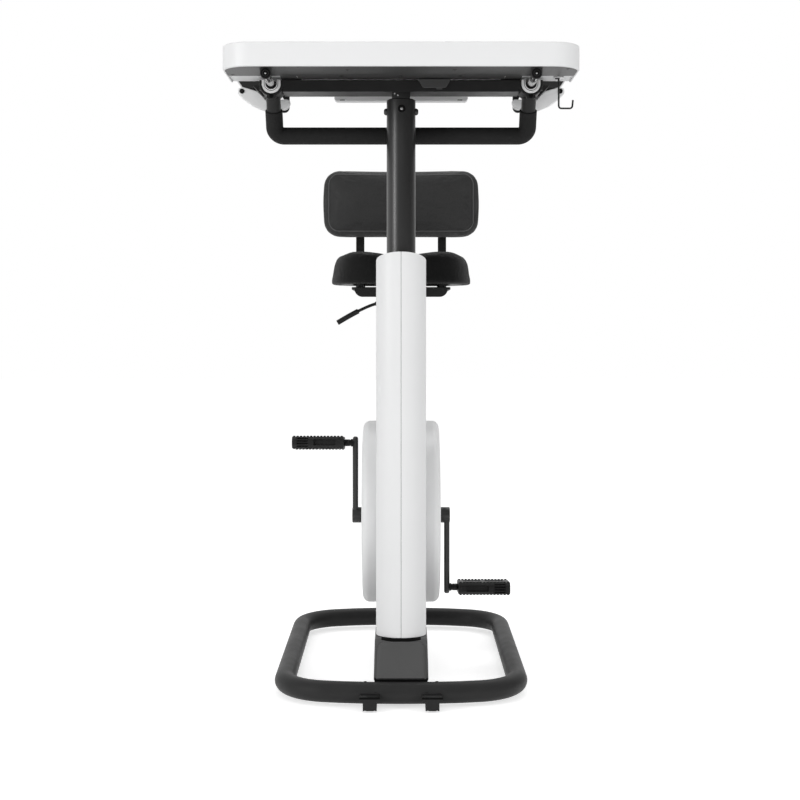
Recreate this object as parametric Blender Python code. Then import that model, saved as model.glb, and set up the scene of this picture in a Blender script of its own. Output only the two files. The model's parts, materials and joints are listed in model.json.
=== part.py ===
"""Desk exercise bike: ring base, sliding mast, desk on slide rods, pedal drive, and a seat with a backrest.

Metres, +Z up. The camera side is -Y, the rider sits on the +Y side and faces -Y. The origin is the middle
of the object's box on the floor. Each sub-part is one object, and a moving one has its origin on its joint.
"""

import math

import bmesh
import bpy
from mathutils import Matrix, Vector

# Clearances
GAP = 0.0003  # between pieces that touch
RUN = 0.0005  # round a piece that slides or turns in another
PAST = 0.010  # how far a cutter runs past what it cuts
SUNK = 0.001  # how far a face stays inside the piece that it is fused to

# Ring base
RING_WIDTH = 0.475
RING_LENGTH = 0.678  # between the middles of the front and rear tubes
RING_TUBE_RADIUS = 0.0194
RING_LIFT = 0.0055  # from the floor to the tube's lowest line
RING_CORNER_RADIUS = 0.095
RING_FRONT_BOW = 0.026
RING_REAR_BOW = 0.034
RING_AHEAD_OF_MAST = 0.114

# Pads and rollers under the ring
PAD_LENGTH = 0.050
PAD_WIDTH = 0.018
PAD_HEIGHT = 0.015
PAD_FROM_FRONT = 0.130
PAD_FROM_REAR = 0.110
ROLLER_RADIUS = 0.0105
ROLLER_WIDTH = 0.019
ROLLER_FLOOR_GAP = 0.001
ROLLER_AHEAD_OF_TUBE = 0.033
ROLLER_SPREAD = 0.056
ROLLER_EDGE = 0.0012
ROLLER_BOLT_RADIUS = 0.003
BRACKET_WIDTH = 0.036
BRACKET_SHEET = 0.0025
BRACKET_FLOOR_GAP = 0.0025
BRACKET_AHEAD_OF_BOLT = 0.0075

# Spine and foot cover
SPINE_WIDTH = 0.060
SPINE_BOTTOM = 0.010
SPINE_HEIGHT = 0.032
COVER_WIDTH = 0.100
COVER_HEIGHT = 0.068
COVER_AHEAD_OF_MAST = 0.099
COVER_TOP_AHEAD = 0.056
COVER_BEHIND_MAST = 0.060
COVER_LIP = 0.010
COVER_WALL = 0.003
COVER_BACK_ROUND = 0.008
COVER_TOP_ROUND = 0.010
COVER_LIP_ROUND = 0.003

# Mast
OUTER_TUBE_RADIUS = 0.0330
OUTER_TUBE_WALL = 0.003
OUTER_TUBE_BELOW_SHELL = 0.042  # from the shell's front top to the tube's top
INNER_TUBE_RADIUS = 0.0272
INNER_TUBE_WALL = 0.003
INNER_TUBE_BOTTOM = 0.400
INNER_TUBE_TOP = 1.1145
BUSH_DEPTH = 0.060
BUSH_FLANGE = 0.004
SHELL_WIDTH = 0.0938
SHELL_FRONT = 0.054
SHELL_NOSE = 0.038
SHELL_BACK = 0.044
SHELL_BACK_CORNER = 0.014
SHELL_WALL = 0.003
SHELL_FRONT_TOP = 0.827
SHELL_TOP_SLOPE = math.radians(22)
SHELL_RIB_HEIGHT = 0.012
GAS_CYLINDER_RADIUS = 0.014
GAS_CYLINDER_LENGTH = 0.600
GAS_BORE_DEPTH = 0.360
GAS_ROD_RADIUS = 0.005
GAS_ROD_TOP = 0.520
HEAD_PLUG_LENGTH = 0.070
HEAD_PLATE_LENGTH = 0.034
HEAD_PLATE_THICKNESS = 0.0115
HEAD_PLUG_RIM = 0.0012  # how far the plug's disc reaches into the plate

# Cross beam and its end castings
BEAM_DEPTH = 0.060
BEAM_HEIGHT = 0.022
BEAM_WALL = 0.003
ROD_FROM_DESK_SIDE = 0.0805
ROD_ABOVE_BEAM_BOTTOM = 0.0145
CASTING_RADIUS = 0.0225
SADDLE_RADIUS = 0.0175
SADDLE_WALL = 0.0045
LINER_WALL = 0.0040
SADDLE_AHEAD = 0.004
HANDLEBAR_TUBE_RADIUS = 0.0137
GRIP_INNER_BEND = 0.0015  # the foam's inner radius at the bends, which are tight
HANDLEBAR_DROP = 0.087  # from the rods to the cross bar
HANDLEBAR_BACK = 0.052  # from the mast axis to the cross bar
GRIP_WALL = 0.0025
GRIP_TOP_DROP = 0.042

# Desk
DESK_WIDTH = 0.646
DESK_DEPTH = 0.480
DESK_ABOVE_BEAM = 0.0049  # clear of the saddles when the desk slides
DESK_FRONT_THICKNESS = 0.0415
DESK_REAR_THICKNESS = 0.025
DESK_CORNER_RADIUS = 0.055
DESK_EDGE_ROUND = 0.0025
DESK_LIP = 0.0028  # the front edge hangs this far below the seat of the plate
DESK_AHEAD_OF_MAST = 0.165
DESK_STEP_BEHIND_MAST = 0.010
DESK_STEP_RUN = 0.030
PLATE_THICKNESS = 0.0022
PLATE_INSET = 0.004
PLATE_SIDE_DEPTH = 0.106
PLATE_MIDDLE_DEPTH = 0.140
PLATE_STEP_FROM_ROD = 0.0575  # towards the middle, where the plate gets deeper
PLATE_ROUND = 0.003
EAR_WIDTH = 0.022
EAR_THICKNESS = 0.003
EAR_BEHIND_EDGE = 0.020
EAR_BELOW_ROD = 0.010
EAR_BORE_RADIUS = 0.0045
ROD_RADIUS = 0.0075
ROD_REAR_TAB = 0.004
ROD_TAB_WIDTH = 0.022
ROD_TAIL = 0.045  # from the desk's rear edge to the rod's rear tab
ROD_SCREW_HEAD_RADIUS = 0.0088
ROD_SCREW_HEAD = 0.004
TRAY_WIDTH = 0.272
TRAY_DEPTH = 0.026
TRAY_HEIGHT = 0.0235
TRAY_WALL = 0.0025
TRAY_FROM_REAR_EDGE = 0.077
HOOK_WIRE_RADIUS = 0.0017
HOOK_FROM_DESK_SIDE = 0.0293
HOOK_DROP = 0.0589
HOOK_REACH = 0.0265
HOOK_LIP = 0.0155
HOOK_BEND = 0.005
HOOK_BEHIND_EDGE = 0.128
HOOK_PAD = 0.018
HOOK_PAD_THICKNESS = 0.003

# Side levers, which lock the desk's slide, and the height release paddle
LEVER_THICKNESS = 0.014
LEVER_PIVOT_BEYOND_ROD = 0.066
LEVER_PIVOT_ABOVE_ROD = 0.0025  # low enough to stay under the board when the desk slides back
LEVER_BOLT_RADIUS = 0.003
LEVER_BOLT_HEAD_RADIUS = 0.0045
LEVER_BOLT_HEAD = 0.002
LEVER_BRACKET_THICKNESS = 0.004
LEVER_ARM_OVERLAP = 0.020  # along the casting
LEVER_BEHIND_CASTING = 0.042
LEVER_BRACKET_REACH = 0.008  # round the bolt
PADDLE_TOP_WIDTH = 0.063
PADDLE_BOTTOM_WIDTH = 0.038
PADDLE_HEIGHT = 0.0168
PADDLE_ABOVE_BARREL = 0.0049  # from the barrel's axis to the blade's top
PADDLE_THICKNESS = 0.003
PADDLE_BARREL_RADIUS = 0.004
PADDLE_OFFSET = 0.062
PADDLE_ROUND = 0.002
PADDLE_TIP_ROUND = 0.004
PADDLE_BARREL_LENGTH = 0.038

# Drive
HOUSING_RADIUS = 0.184
HOUSING_HALF_WIDTH = 0.077
HOUSING_RIM_ROUND = 0.014
HOUSING_WALL = 0.003
HOUSING_AXLE_GAP = 0.003
HOUSING_SLOT_GAP = 0.0015
HOUSING_SLOT_DROP = 0.109  # from the housing's middle to the slot's top
HOUSING_BEHIND_MAST = 0.237
HOUSING_HEIGHT = 0.309
CRANK_HEIGHT = 0.300
CRANK_LENGTH = 0.148
CRANK_HUB_RADIUS = 0.016
CRANK_HUB_LENGTH = 0.019
CRANK_HUB_OFFSET = 0.004  # from the housing's side to the hub
CRANK_ARM_THICKNESS = 0.011
CRANK_ARM_INSET = 0.0008  # from a hub's outer face to the arm's
CRANK_ARM_WIDTH = 0.024
CRANK_TIP_RADIUS = 0.013
AXLE_RADIUS = 0.010
AXLE_END_DEPTH = 0.0015  # from a hub's outer face to the axle's end
FRAME_BARREL_RADIUS = 0.019
FRAME_BARREL_LENGTH = 0.030
FRAME_PLATE = 0.008
FRAME_PLATE_LENGTH = 0.100
FRAME_CRANK_ROUND = 0.026
FRAME_WHEEL_BARREL_RADIUS = 0.0133
FRAME_WHEEL_ROUND = 0.020
FRAME_FOOT_WIDTH = 0.056
FRAME_FOOT_LENGTH = 0.150
FRAME_FOOT_THICKNESS = 0.006
PEDAL_WIDTH = 0.1045
PEDAL_LENGTH = 0.092
PEDAL_THICKNESS = 0.027
PEDAL_FROM_ARM = 0.0172
PEDAL_TILT = math.radians(6)
PEDAL_CHAMFER = 0.0075
PEDAL_BARREL_RADIUS = 0.011
PEDAL_WINDOW_MARGIN = 0.012
PEDAL_RIB = 0.008  # between the windows
PEDAL_END_WALL = 0.0105  # beside the windows
PEDAL_END_CAP = 0.003  # beyond the spindle's bore
SPINDLE_RADIUS = 0.006
SPINDLE_IN_ARM = 0.007
SPINDLE_END_GAP = 0.004
PULLEY_RADIUS = 0.062
PULLEY_WIDTH = 0.012
PULLEY_OFFSET = 0.030
SMALL_PULLEY_RADIUS = 0.0155
SMALL_PULLEY_STUB = 0.004
BELT_WIDTH = 0.010
BELT_THICKNESS = 0.002
BELT_GAP = 0.0006
FLYWHEEL_RADIUS = 0.070
FLYWHEEL_THICKNESS = 0.022
FLYWHEEL_OFFSET = 0.034
FLYWHEEL_AXLE_RADIUS = 0.006
FLYWHEEL_STUB = 0.008
FLYWHEEL_BACK = 0.088  # from the crank axle
FLYWHEEL_RISE = 0.051  # above the housing's middle
MAGNET_CLEARANCE = 0.004
MAGNET_THICKNESS = 0.010
MAGNET_WIDTH = 0.020
MAGNET_START = 75  # degrees round the flywheel
MAGNET_END = 120
MAGNET_PIVOT = 165
MAGNET_STRAP_OVERLAP = 5
MAGNET_STRAP_THICKNESS = 0.005
KNOB_ANGLE = math.radians(62)
KNOB_RADIUS = 0.022
KNOB_HEIGHT = 0.024
KNOB_FOOT = 0.0012
KNOB_SHOULDER_RADIUS = 0.0202
KNOB_TOP_RADIUS = 0.0176
KNOB_TOP_ROUND = 0.003
KNOB_STEM_RADIUS = 0.004
KNOB_STEM_LENGTH = 0.018

# Seat
SEAT_POST_BEHIND_MAST = 0.462
SEAT_POST_RADIUS = 0.030
SEAT_POST_WALL = 0.0035
SEAT_POST_TOP = 0.560
SEAT_COLUMN_BOTTOM = 0.330
SEAT_COLUMN_BORE_RADIUS = 0.0065
SEAT_COLUMN_BORE_DEPTH = 0.240
SEAT_ROD_TOP = 0.430
SEAT_ROD_RADIUS = 0.005
SEAT_PLATE_BOTTOM = 0.7307
SEAT_PLATE_WIDTH = 0.096
SEAT_PLATE_LENGTH = 0.120
SEAT_PLATE_HEIGHT = 0.0338
SEAT_PAN_THICKNESS = 0.0095
SEAT_PAN_INSET = 0.016
SEAT_PAN_BOARD = 0.003
SEAT_BLOCK_WIDTH = 0.013
SEAT_BLOCK_LENGTH = 0.022
SEAT_BLOCK_SPREAD = 0.0875
SEAT_BLOCK_FROM_YOKE_END = 0.018
SEAT_WIDTH = 0.308
SEAT_LENGTH = 0.270
SEAT_THICKNESS = 0.068
SEAT_FRONT_AHEAD_OF_POST = 0.160
SEAT_SQUARENESS = 3.2  # 2 would make the plan an ellipse
SEAT_NOSE_SHARE = 0.84  # of the full width, at the front
SEAT_WIDENING = 1.6
SEAT_DIP = 0.009
SEAT_DIP_REACH = 0.42  # of the half width
SEAT_SIDE_LIFT = 0.007
SEAT_REAR_LIFT = 0.008
SEAT_REAR_LIFT_START = 0.55  # of the length
YOKE_SHEET = 0.0055
YOKE_WIDTH = 0.205
YOKE_LENGTH = 0.200
YOKE_AHEAD_OF_POST = 0.110
YOKE_LIP = 0.021
YOKE_CORNER_RADIUS = 0.012
YOKE_LIP_RADIUS = 0.014
BAR_SHEET = 0.0045
BAR_WIDTH = 0.0195
BAR_SPREAD = 0.096
BAR_OVERLAP = 0.030
BAR_BEND = 0.046
BAR_TOP = 0.990
BACKREST_WIDTH = 0.357
BACKREST_HEIGHT = 0.152
BACKREST_BOTTOM = 0.894
BACKREST_THICKNESS = 0.048
BACKREST_CORNER_RADIUS = 0.039
BACKREST_LEAST_RADIUS = 0.004
BACKREST_CROWN = 0.010
BACK_SHELL_THICKNESS = 0.014
BACK_SHELL_INSET = 0.008
BACK_BEHIND_MAST = 0.669  # from the mast axis to the rear face of the backrest bars
LEVER_ROD_RADIUS = 0.003
LEVER_GRIP_RADIUS = 0.0052
LEVER_REACH = 0.0848
LEVER_FALL = 0.0414
LEVER_CURVE = 1.26
LEVER_TIP_RADIUS = 0.0031
LEVER_GRIP_SHARE = 0.53
LEVER_HUB_RADIUS = 0.005
LEVER_HUB_LENGTH = 0.016

# Places worked out from the driving sizes: the box is centred on the origin
MAST_Y = (DESK_AHEAD_OF_MAST - BACK_BEHIND_MAST) / 2
DESK_FRONT_Y = MAST_Y - DESK_AHEAD_OF_MAST
DESK_REAR_Y = DESK_FRONT_Y + DESK_DEPTH
RING_FRONT_Y = MAST_Y - RING_AHEAD_OF_MAST
RING_REAR_Y = RING_FRONT_Y + RING_LENGTH
RING_HALF = RING_WIDTH / 2 - RING_TUBE_RADIUS
RING_Z = RING_LIFT + RING_TUBE_RADIUS
OUTER_TUBE_TOP = SHELL_FRONT_TOP - OUTER_TUBE_BELOW_SHELL
SPINE_TOP = SPINE_BOTTOM + SPINE_HEIGHT
COVER_TOP = SPINE_TOP + GAP + COVER_HEIGHT
HEAD_PLATE_TOP = INNER_TUBE_TOP + GAP + HEAD_PLATE_THICKNESS
BEAM_BOTTOM = HEAD_PLATE_TOP + GAP
BEAM_TOP = BEAM_BOTTOM + BEAM_HEIGHT
ROD_Z = BEAM_BOTTOM + ROD_ABOVE_BEAM_BOTTOM
ROD_SPREAD = DESK_WIDTH / 2 - ROD_FROM_DESK_SIDE
HOOK_SPREAD = DESK_WIDTH / 2 - HOOK_FROM_DESK_SIDE
LEVER_PIVOT_SPREAD = ROD_SPREAD + LEVER_PIVOT_BEYOND_ROD
DESK_BOTTOM = BEAM_TOP + DESK_ABOVE_BEAM
DESK_TOP = DESK_BOTTOM + DESK_FRONT_THICKNESS
DESK_REAR_BOTTOM = DESK_TOP - DESK_REAR_THICKNESS
PLATE_BOTTOM = DESK_BOTTOM - GAP - PLATE_THICKNESS
HOUSING_Y = MAST_Y + HOUSING_BEHIND_MAST
PULLEY_PLACE = Vector((0, HOUSING_Y, CRANK_HEIGHT))
FLYWHEEL_PLACE = Vector((0, HOUSING_Y + FLYWHEEL_BACK, HOUSING_HEIGHT + FLYWHEEL_RISE))
SEAT_Y = MAST_Y + SEAT_POST_BEHIND_MAST
SEAT_PLATE_TOP = SEAT_PLATE_BOTTOM + SEAT_PLATE_HEIGHT
YOKE_BOTTOM = SEAT_PLATE_TOP + GAP
YOKE_TOP = YOKE_BOTTOM + YOKE_SHEET
PAN_BOTTOM = YOKE_TOP + GAP
PAN_TOP = PAN_BOTTOM + SEAT_PAN_THICKNESS
SEAT_BOTTOM = PAN_TOP + GAP
BACK_Y = MAST_Y + BACK_BEHIND_MAST

# Finishes: colour, roughness, metallic
WHITE_PLASTIC = ("white_plastic", (0.78, 0.78, 0.79), 0.38, 0.0)
WHITE_DESK = ("white_desk", (0.80, 0.80, 0.80), 0.45, 0.0)
BLACK_PAINT = ("black_paint", (0.030, 0.031, 0.034), 0.45, 0.0)
BLACK_PLASTIC = ("black_plastic", (0.022, 0.023, 0.025), 0.55, 0.0)
BLACK_FABRIC = ("black_fabric", (0.022, 0.023, 0.026), 0.85, 0.0)
BLACK_FOAM = ("black_foam", (0.016, 0.016, 0.018), 0.80, 0.0)
RUBBER = ("rubber", (0.018, 0.018, 0.019), 0.85, 0.0)
STEEL = ("steel", (0.56, 0.57, 0.58), 0.30, 1.0)
CHROME = ("chrome", (0.70, 0.71, 0.72), 0.12, 1.0)
CAST_IRON = ("cast_iron", (0.12, 0.12, 0.13), 0.50, 1.0)
GREY_PLATE = ("grey_plate", (0.060, 0.062, 0.066), 0.50, 0.0)

SIDES = (("left", -1), ("right", 1))


def finish(spec):
    """The material of a finish, made once."""
    name, colour, roughness, metallic = spec
    material = bpy.data.materials.get(name)
    if material is None:
        material = bpy.data.materials.new(name)
        material.use_nodes = True
        shader = material.node_tree.nodes["Principled BSDF"]
        shader.inputs["Base Color"].default_value = (*colour, 1.0)
        shader.inputs["Roughness"].default_value = roughness
        shader.inputs["Metallic"].default_value = metallic
        material.diffuse_color = (*colour, 1.0)
    return material


def solid(name, points, faces, spec, origin=(0, 0, 0)):
    """One closed mesh object, its faces turned outwards and its origin at the given place."""
    origin = Vector(origin)
    mesh = bpy.data.meshes.new(name)
    mesh.from_pydata([Vector(p) - origin for p in points], [], faces)
    work = bmesh.new()
    work.from_mesh(mesh)
    bmesh.ops.recalc_face_normals(work, faces=work.faces)
    work.to_mesh(mesh)
    work.free()
    mesh.shade_smooth()
    mesh.set_sharp_from_angle(angle=math.radians(35))
    if spec is not None:
        mesh.materials.append(finish(spec))
    made = bpy.data.objects.new(name, mesh)
    made.location = origin
    bpy.context.scene.collection.objects.link(made)
    return made


def combined(target, other, operation):
    """A live Boolean of the target with a helper object, which is then hidden."""
    other.hide_render = True
    other.display_type = "WIRE"
    modifier = target.modifiers.new(f"{operation.lower()} {other.name}", "BOOLEAN")
    modifier.operation = operation
    modifier.solver = "EXACT"
    modifier.object = other
    return target


def cut(target, *cutters):
    for cutter in cutters:
        combined(target, cutter, "DIFFERENCE")
    return target


def fuse(target, *others):
    for other in others:
        combined(target, other, "UNION")
    return target


def placed(axis, along, a, b):
    """A point from its place along an axis and its two coordinates across it, in XYZ order."""
    point = [a, b]
    point.insert("XYZ".index(axis), along)
    return tuple(point)


def prism(name, outline, axis, low, high, spec, origin=(0, 0, 0)):
    """An outline across the axis, extruded from low to high along it."""
    count = len(outline)
    points = [placed(axis, low, a, b) for a, b in outline] + [placed(axis, high, a, b) for a, b in outline]
    faces = [[i, (i + 1) % count, count + (i + 1) % count, count + i] for i in range(count)]
    faces += [list(range(count)), list(range(count, 2 * count))]
    return solid(name, points, faces, spec, origin)


def block(name, low, high, spec, origin=(0, 0, 0)):
    outline = [(low[0], low[1]), (high[0], low[1]), (high[0], high[1]), (low[0], high[1])]
    return prism(name, outline, "Z", low[2], high[2], spec, origin)


def around(angle, radius, centre=(0, 0)):
    return (centre[0] + radius * math.cos(angle), centre[1] + radius * math.sin(angle))


def arc(centre, radius, start, end, steps):
    """Points on an arc, angles in degrees, both ends included."""
    spread = [math.radians(start + (end - start) * i / steps) for i in range(steps + 1)]
    return [around(angle, radius, centre) for angle in spread]


def rounded(corners, radius, steps=4):
    """A polygon with each corner replaced by an arc, the radius being one value or one for each corner."""
    count = len(corners)
    radii = radius if isinstance(radius, (list, tuple)) else [radius] * count
    points = []
    for i, corner in enumerate(corners):
        if radii[i] == 0:
            points.append(tuple(corner))
            continue
        here = Vector(corner)
        before = (Vector(corners[i - 1]) - here).normalized()
        after = (Vector(corners[(i + 1) % count]) - here).normalized()
        half = before.angle(after) / 2
        centre = here + (before + after).normalized() * radii[i] / math.sin(half)
        first = here + before * radii[i] / math.tan(half) - centre
        last = here + after * radii[i] / math.tan(half) - centre
        turn = first.angle_signed(last)
        for step in range(steps + 1):
            spun = first.copy()
            spun.rotate(Matrix.Rotation(-turn * step / steps, 2))
            points.append(tuple(centre + spun))
    return points


def turned(name, profile, axis, centre, spec, segments=24, origin=None):
    """A closed solid of revolution. The profile lists (place along the axis, radius) and may start and end
    on the axis, or be a closed loop off it for a ring."""
    on_axis = profile[0][1] == 0
    middle = Vector(centre)
    points = []
    rings = []
    for along, radius in profile:
        if radius == 0:
            rings.append([len(points)])
            points.append(middle + Vector(placed(axis, along, 0, 0)))
            continue
        rings.append(list(range(len(points), len(points) + segments)))
        for i in range(segments):
            a, b = around(2 * math.pi * i / segments, radius)
            points.append(middle + Vector(placed(axis, along, a, b)))
    pairs = list(zip(rings, rings[1:]))
    if not on_axis:
        pairs.append((rings[-1], rings[0]))
    faces = []
    for first, second in pairs:
        for i in range(segments):
            j = (i + 1) % segments
            corners = [first[i % len(first)], first[j % len(first)]]
            corners += [second[j % len(second)], second[i % len(second)]]
            faces.append(list(dict.fromkeys(corners)))
    return solid(name, points, faces, spec, middle if origin is None else origin)


def rod(name, axis, centre, low, high, radius, spec, segments=20, origin=None):
    profile = [(low, 0), (low, radius), (high, radius), (high, 0)]
    return turned(name, profile, axis, centre, spec, segments, origin)


def ring(name, axis, centre, low, high, inner, outer, spec, segments=24, origin=None):
    profile = [(low, inner), (low, outer), (high, outer), (high, inner)]
    return turned(name, profile, axis, centre, spec, segments, origin)


def swept(name, path, radii, across, spec, sides=12, closed=False, bore=None, origin=(0, 0, 0)):
    """A round tube along a flat path, across being the direction square to the path's plane. With a bore it
    is a sleeve, open at both ends."""
    across = Vector(across).normalized()
    path = [Vector(p) for p in path]
    radii = radii if isinstance(radii, (list, tuple)) else [radii] * len(path)
    count = len(path)

    def loops(size_of):
        made = []
        for i, place in enumerate(path):
            before = path[i - 1] if closed or i else place
            after = path[(i + 1) % count] if closed or i + 1 < count else place
            into = (place - before).normalized() if before != place else (after - place).normalized()
            out = (after - place).normalized() if after != place else into
            along = (into + out).normalized()
            stretch = 1 / max(0.5, along.dot(into))
            side = across.cross(along)
            loop = [around(2 * math.pi * k / sides, size_of(i)) for k in range(sides)]
            made.append([place + side * stretch * a + across * b for a, b in loop])
        return made

    outer = loops(lambda i: radii[i])
    points = [p for loop in outer for p in loop]
    faces = wall_faces(count, sides, 0, closed)
    if bore is not None:
        start = len(points)
        points += [p for loop in loops(lambda i: bore) for p in loop]
        faces += wall_faces(count, sides, start, closed)
        for end in (0, (count - 1) * sides):
            for k in range(sides):
                m = (k + 1) % sides
                faces.append([end + k, end + m, start + end + m, start + end + k])
    elif not closed:
        faces.append(list(range(sides)))
        faces.append(list(range((count - 1) * sides, count * sides)))
    return solid(name, points, faces, spec, origin)


def wall_faces(rings, sides, start, closed):
    """The quads between successive rings of points."""
    faces = []
    for i in range(rings if closed else rings - 1):
        here = start + i * sides
        there = start + (i + 1) % rings * sides
        for k in range(sides):
            m = (k + 1) % sides
            faces.append([here + k, here + m, there + m, there + k])
    return faces


def lofted(name, rings, spec, origin=(0, 0, 0)):
    """A closed skin over rings of points, each end closed by a fan to its middle."""
    sides = len(rings[0])
    points = [p for loop in rings for p in loop]
    faces = wall_faces(len(rings), sides, 0, False)
    for loop, start in ((rings[0], 0), (rings[-1], (len(rings) - 1) * sides)):
        middle = sum((Vector(p) for p in loop), Vector()) / sides
        points.append(middle)
        faces += [[start + k, start + (k + 1) % sides, len(points) - 1] for k in range(sides)]
    return solid(name, points, faces, spec, origin)


# Ring base

def ring_path(steps=6):
    """The middle line of the ring: straight sides, gently bowed front and rear, rounded corners."""
    reach = RING_HALF - RING_CORNER_RADIUS * 1.15
    bow_steps = 6

    def bowed(end_y, bow, direction):
        offsets = [direction * reach * (2 * i / bow_steps - 1) for i in range(bow_steps + 1)]
        return [(x, end_y + bow * (x / RING_HALF) ** 2) for x in offsets]

    front = bowed(RING_FRONT_Y, RING_FRONT_BOW, 1)
    rear = bowed(RING_REAR_Y, -RING_REAR_BOW, -1)
    front_end = RING_FRONT_Y + RING_FRONT_BOW
    rear_end = RING_REAR_Y - RING_REAR_BOW
    corners = [(-RING_HALF, front_end), *front, (RING_HALF, front_end)]
    corners += [(RING_HALF, rear_end), *rear, (-RING_HALF, rear_end)]
    radii = [RING_CORNER_RADIUS, *[0] * len(front), RING_CORNER_RADIUS]
    radii += [RING_CORNER_RADIUS, *[0] * len(rear), RING_CORNER_RADIUS]
    return [(x, y, RING_Z) for x, y in rounded(corners, radii, steps)]


def ring_tube(name, radius, spec):
    return swept(name, ring_path(), radius, (0, 0, 1), spec, sides=12, closed=True)


def base():
    ring_tube("base_ring", RING_TUBE_RADIUS, BLACK_PAINT)
    ring_cutter = ring_tube("ring_clearance", RING_TUBE_RADIUS + GAP, None)
    spine = block(
        "base_spine",
        (-SPINE_WIDTH / 2, RING_FRONT_Y, SPINE_BOTTOM),
        (SPINE_WIDTH / 2, RING_REAR_Y, SPINE_TOP),
        BLACK_PAINT,
    )
    cut(spine, ring_cutter)
    for side, sign in SIDES:
        for end, y in (("front", RING_FRONT_Y + PAD_FROM_FRONT), ("rear", RING_REAR_Y - PAD_FROM_REAR)):
            pad = block(
                f"ring_pad_{end}_{side}",
                (sign * RING_HALF - PAD_WIDTH / 2, y - PAD_LENGTH / 2, 0),
                (sign * RING_HALF + PAD_WIDTH / 2, y + PAD_LENGTH / 2, PAD_HEIGHT),
                RUBBER,
            )
            cut(pad, ring_cutter)
        roller_and_bracket(side, sign * ROLLER_SPREAD, ring_cutter)
    foot_cover(ring_cutter)


def roller_and_bracket(side, x, ring_cutter):
    """A small transport roller ahead of the ring. It is clear of the floor until the bike is tipped."""
    y = RING_FRONT_Y - ROLLER_AHEAD_OF_TUBE
    z = ROLLER_FLOOR_GAP + ROLLER_RADIUS
    half = ROLLER_WIDTH / 2
    edge = ROLLER_RADIUS - ROLLER_EDGE
    bore = ROLLER_BOLT_RADIUS + RUN
    profile = [(-half, bore), (-half, edge), (ROLLER_EDGE - half, ROLLER_RADIUS)]
    profile += [(half - ROLLER_EDGE, ROLLER_RADIUS), (half, edge), (half, bore)]
    turned(f"transport_roller_{side}", profile, "X", (x, y, z), RUBBER, 24)

    inside = half + RUN
    outside = inside + BRACKET_SHEET
    top = z + ROLLER_RADIUS + RUN
    low = BRACKET_FLOOR_GAP
    flange = BRACKET_WIDTH / 2
    flange_top = top + 2 * BRACKET_SHEET
    outline = [(-outside, low), (-inside, low), (-inside, top), (inside, top), (inside, low), (outside, low)]
    outline += [(outside, top), (flange, top), (flange, flange_top), (-flange, flange_top)]
    outline += [(-flange, top), (-outside, top)]
    outline = [(x + a, b) for a, b in outline]
    front = y - BRACKET_AHEAD_OF_BOLT
    bracket = prism(f"roller_bracket_{side}", outline, "Y", front, RING_FRONT_Y, BLACK_PAINT)
    reach = inside + RUN
    bolt = rod(f"roller_bolt_{side}", "X", (x, y, z), -reach, reach, ROLLER_BOLT_RADIUS, None, 12)
    cut(bracket, ring_cutter)
    fuse(bracket, bolt)


def foot_cover(ring_cutter):
    """The hollow black cover in front of and round the foot of the mast."""
    half = COVER_WIDTH / 2
    low = SPINE_TOP + GAP

    def outline(wall):
        front = MAST_Y - COVER_AHEAD_OF_MAST + wall
        top_front = MAST_Y - COVER_TOP_AHEAD + wall
        back = MAST_Y + COVER_BEHIND_MAST - wall
        top = COVER_TOP - wall
        return [(front, low), (back, low), (back, top), (top_front, top), (front, low + COVER_LIP)]

    radii = [0, 0, COVER_BACK_ROUND, COVER_TOP_ROUND, COVER_LIP_ROUND]
    cover = prism("foot_cover", rounded(outline(0), radii, 3), "X", -half, half, BLACK_PLASTIC)
    hollow = [(y, z - SUNK if z == low else z) for y, z in outline(COVER_WALL)]
    cavity = prism("foot_cover_cavity", hollow, "X", COVER_WALL - half, half - COVER_WALL, None)
    clear = OUTER_TUBE_RADIUS + GAP
    bore = rod("foot_cover_bore", "Z", (0, MAST_Y, 0), low, COVER_TOP + PAST, clear, None, 32)
    cut(cover, cavity, bore, ring_cutter)


# Mast

def shell_outline(wall, sign):
    """Half of the mast shell's section, from front to rear, this far inside the skin."""
    half = SHELL_WIDTH / 2 - wall
    nose = SHELL_NOSE - wall
    start = MAST_Y - SHELL_FRONT + SHELL_NOSE
    back = MAST_Y + SHELL_BACK - wall
    corner = SHELL_BACK_CORNER - wall
    front = [(half * math.sin(t), start - nose * math.cos(t)) for t in [math.pi / 16 * i for i in range(9)]]
    rear = arc((half - corner, back - corner), corner, 0, 90, 4)
    return [(sign * x, y) for x, y in [*front, *rear, (0, back)]]


def shell_rib(name, sign, seam, height):
    """A rib across one half of the shell, which holds it off the outer tube."""
    top = height + SHELL_RIB_HEIGHT
    half = [(sign * seam + x, y) for x, y in shell_outline(SHELL_WALL / 2, sign)]
    rib = prism(f"shell_rib_{name}", half, "Z", height, top, None)
    radius = OUTER_TUBE_RADIUS + 2 * GAP
    centre = (0, MAST_Y, 0)
    return cut(rib, rod(f"shell_rib_bore_{name}", "Z", centre, height - PAST, top + PAST, radius, None, 20))


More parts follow.
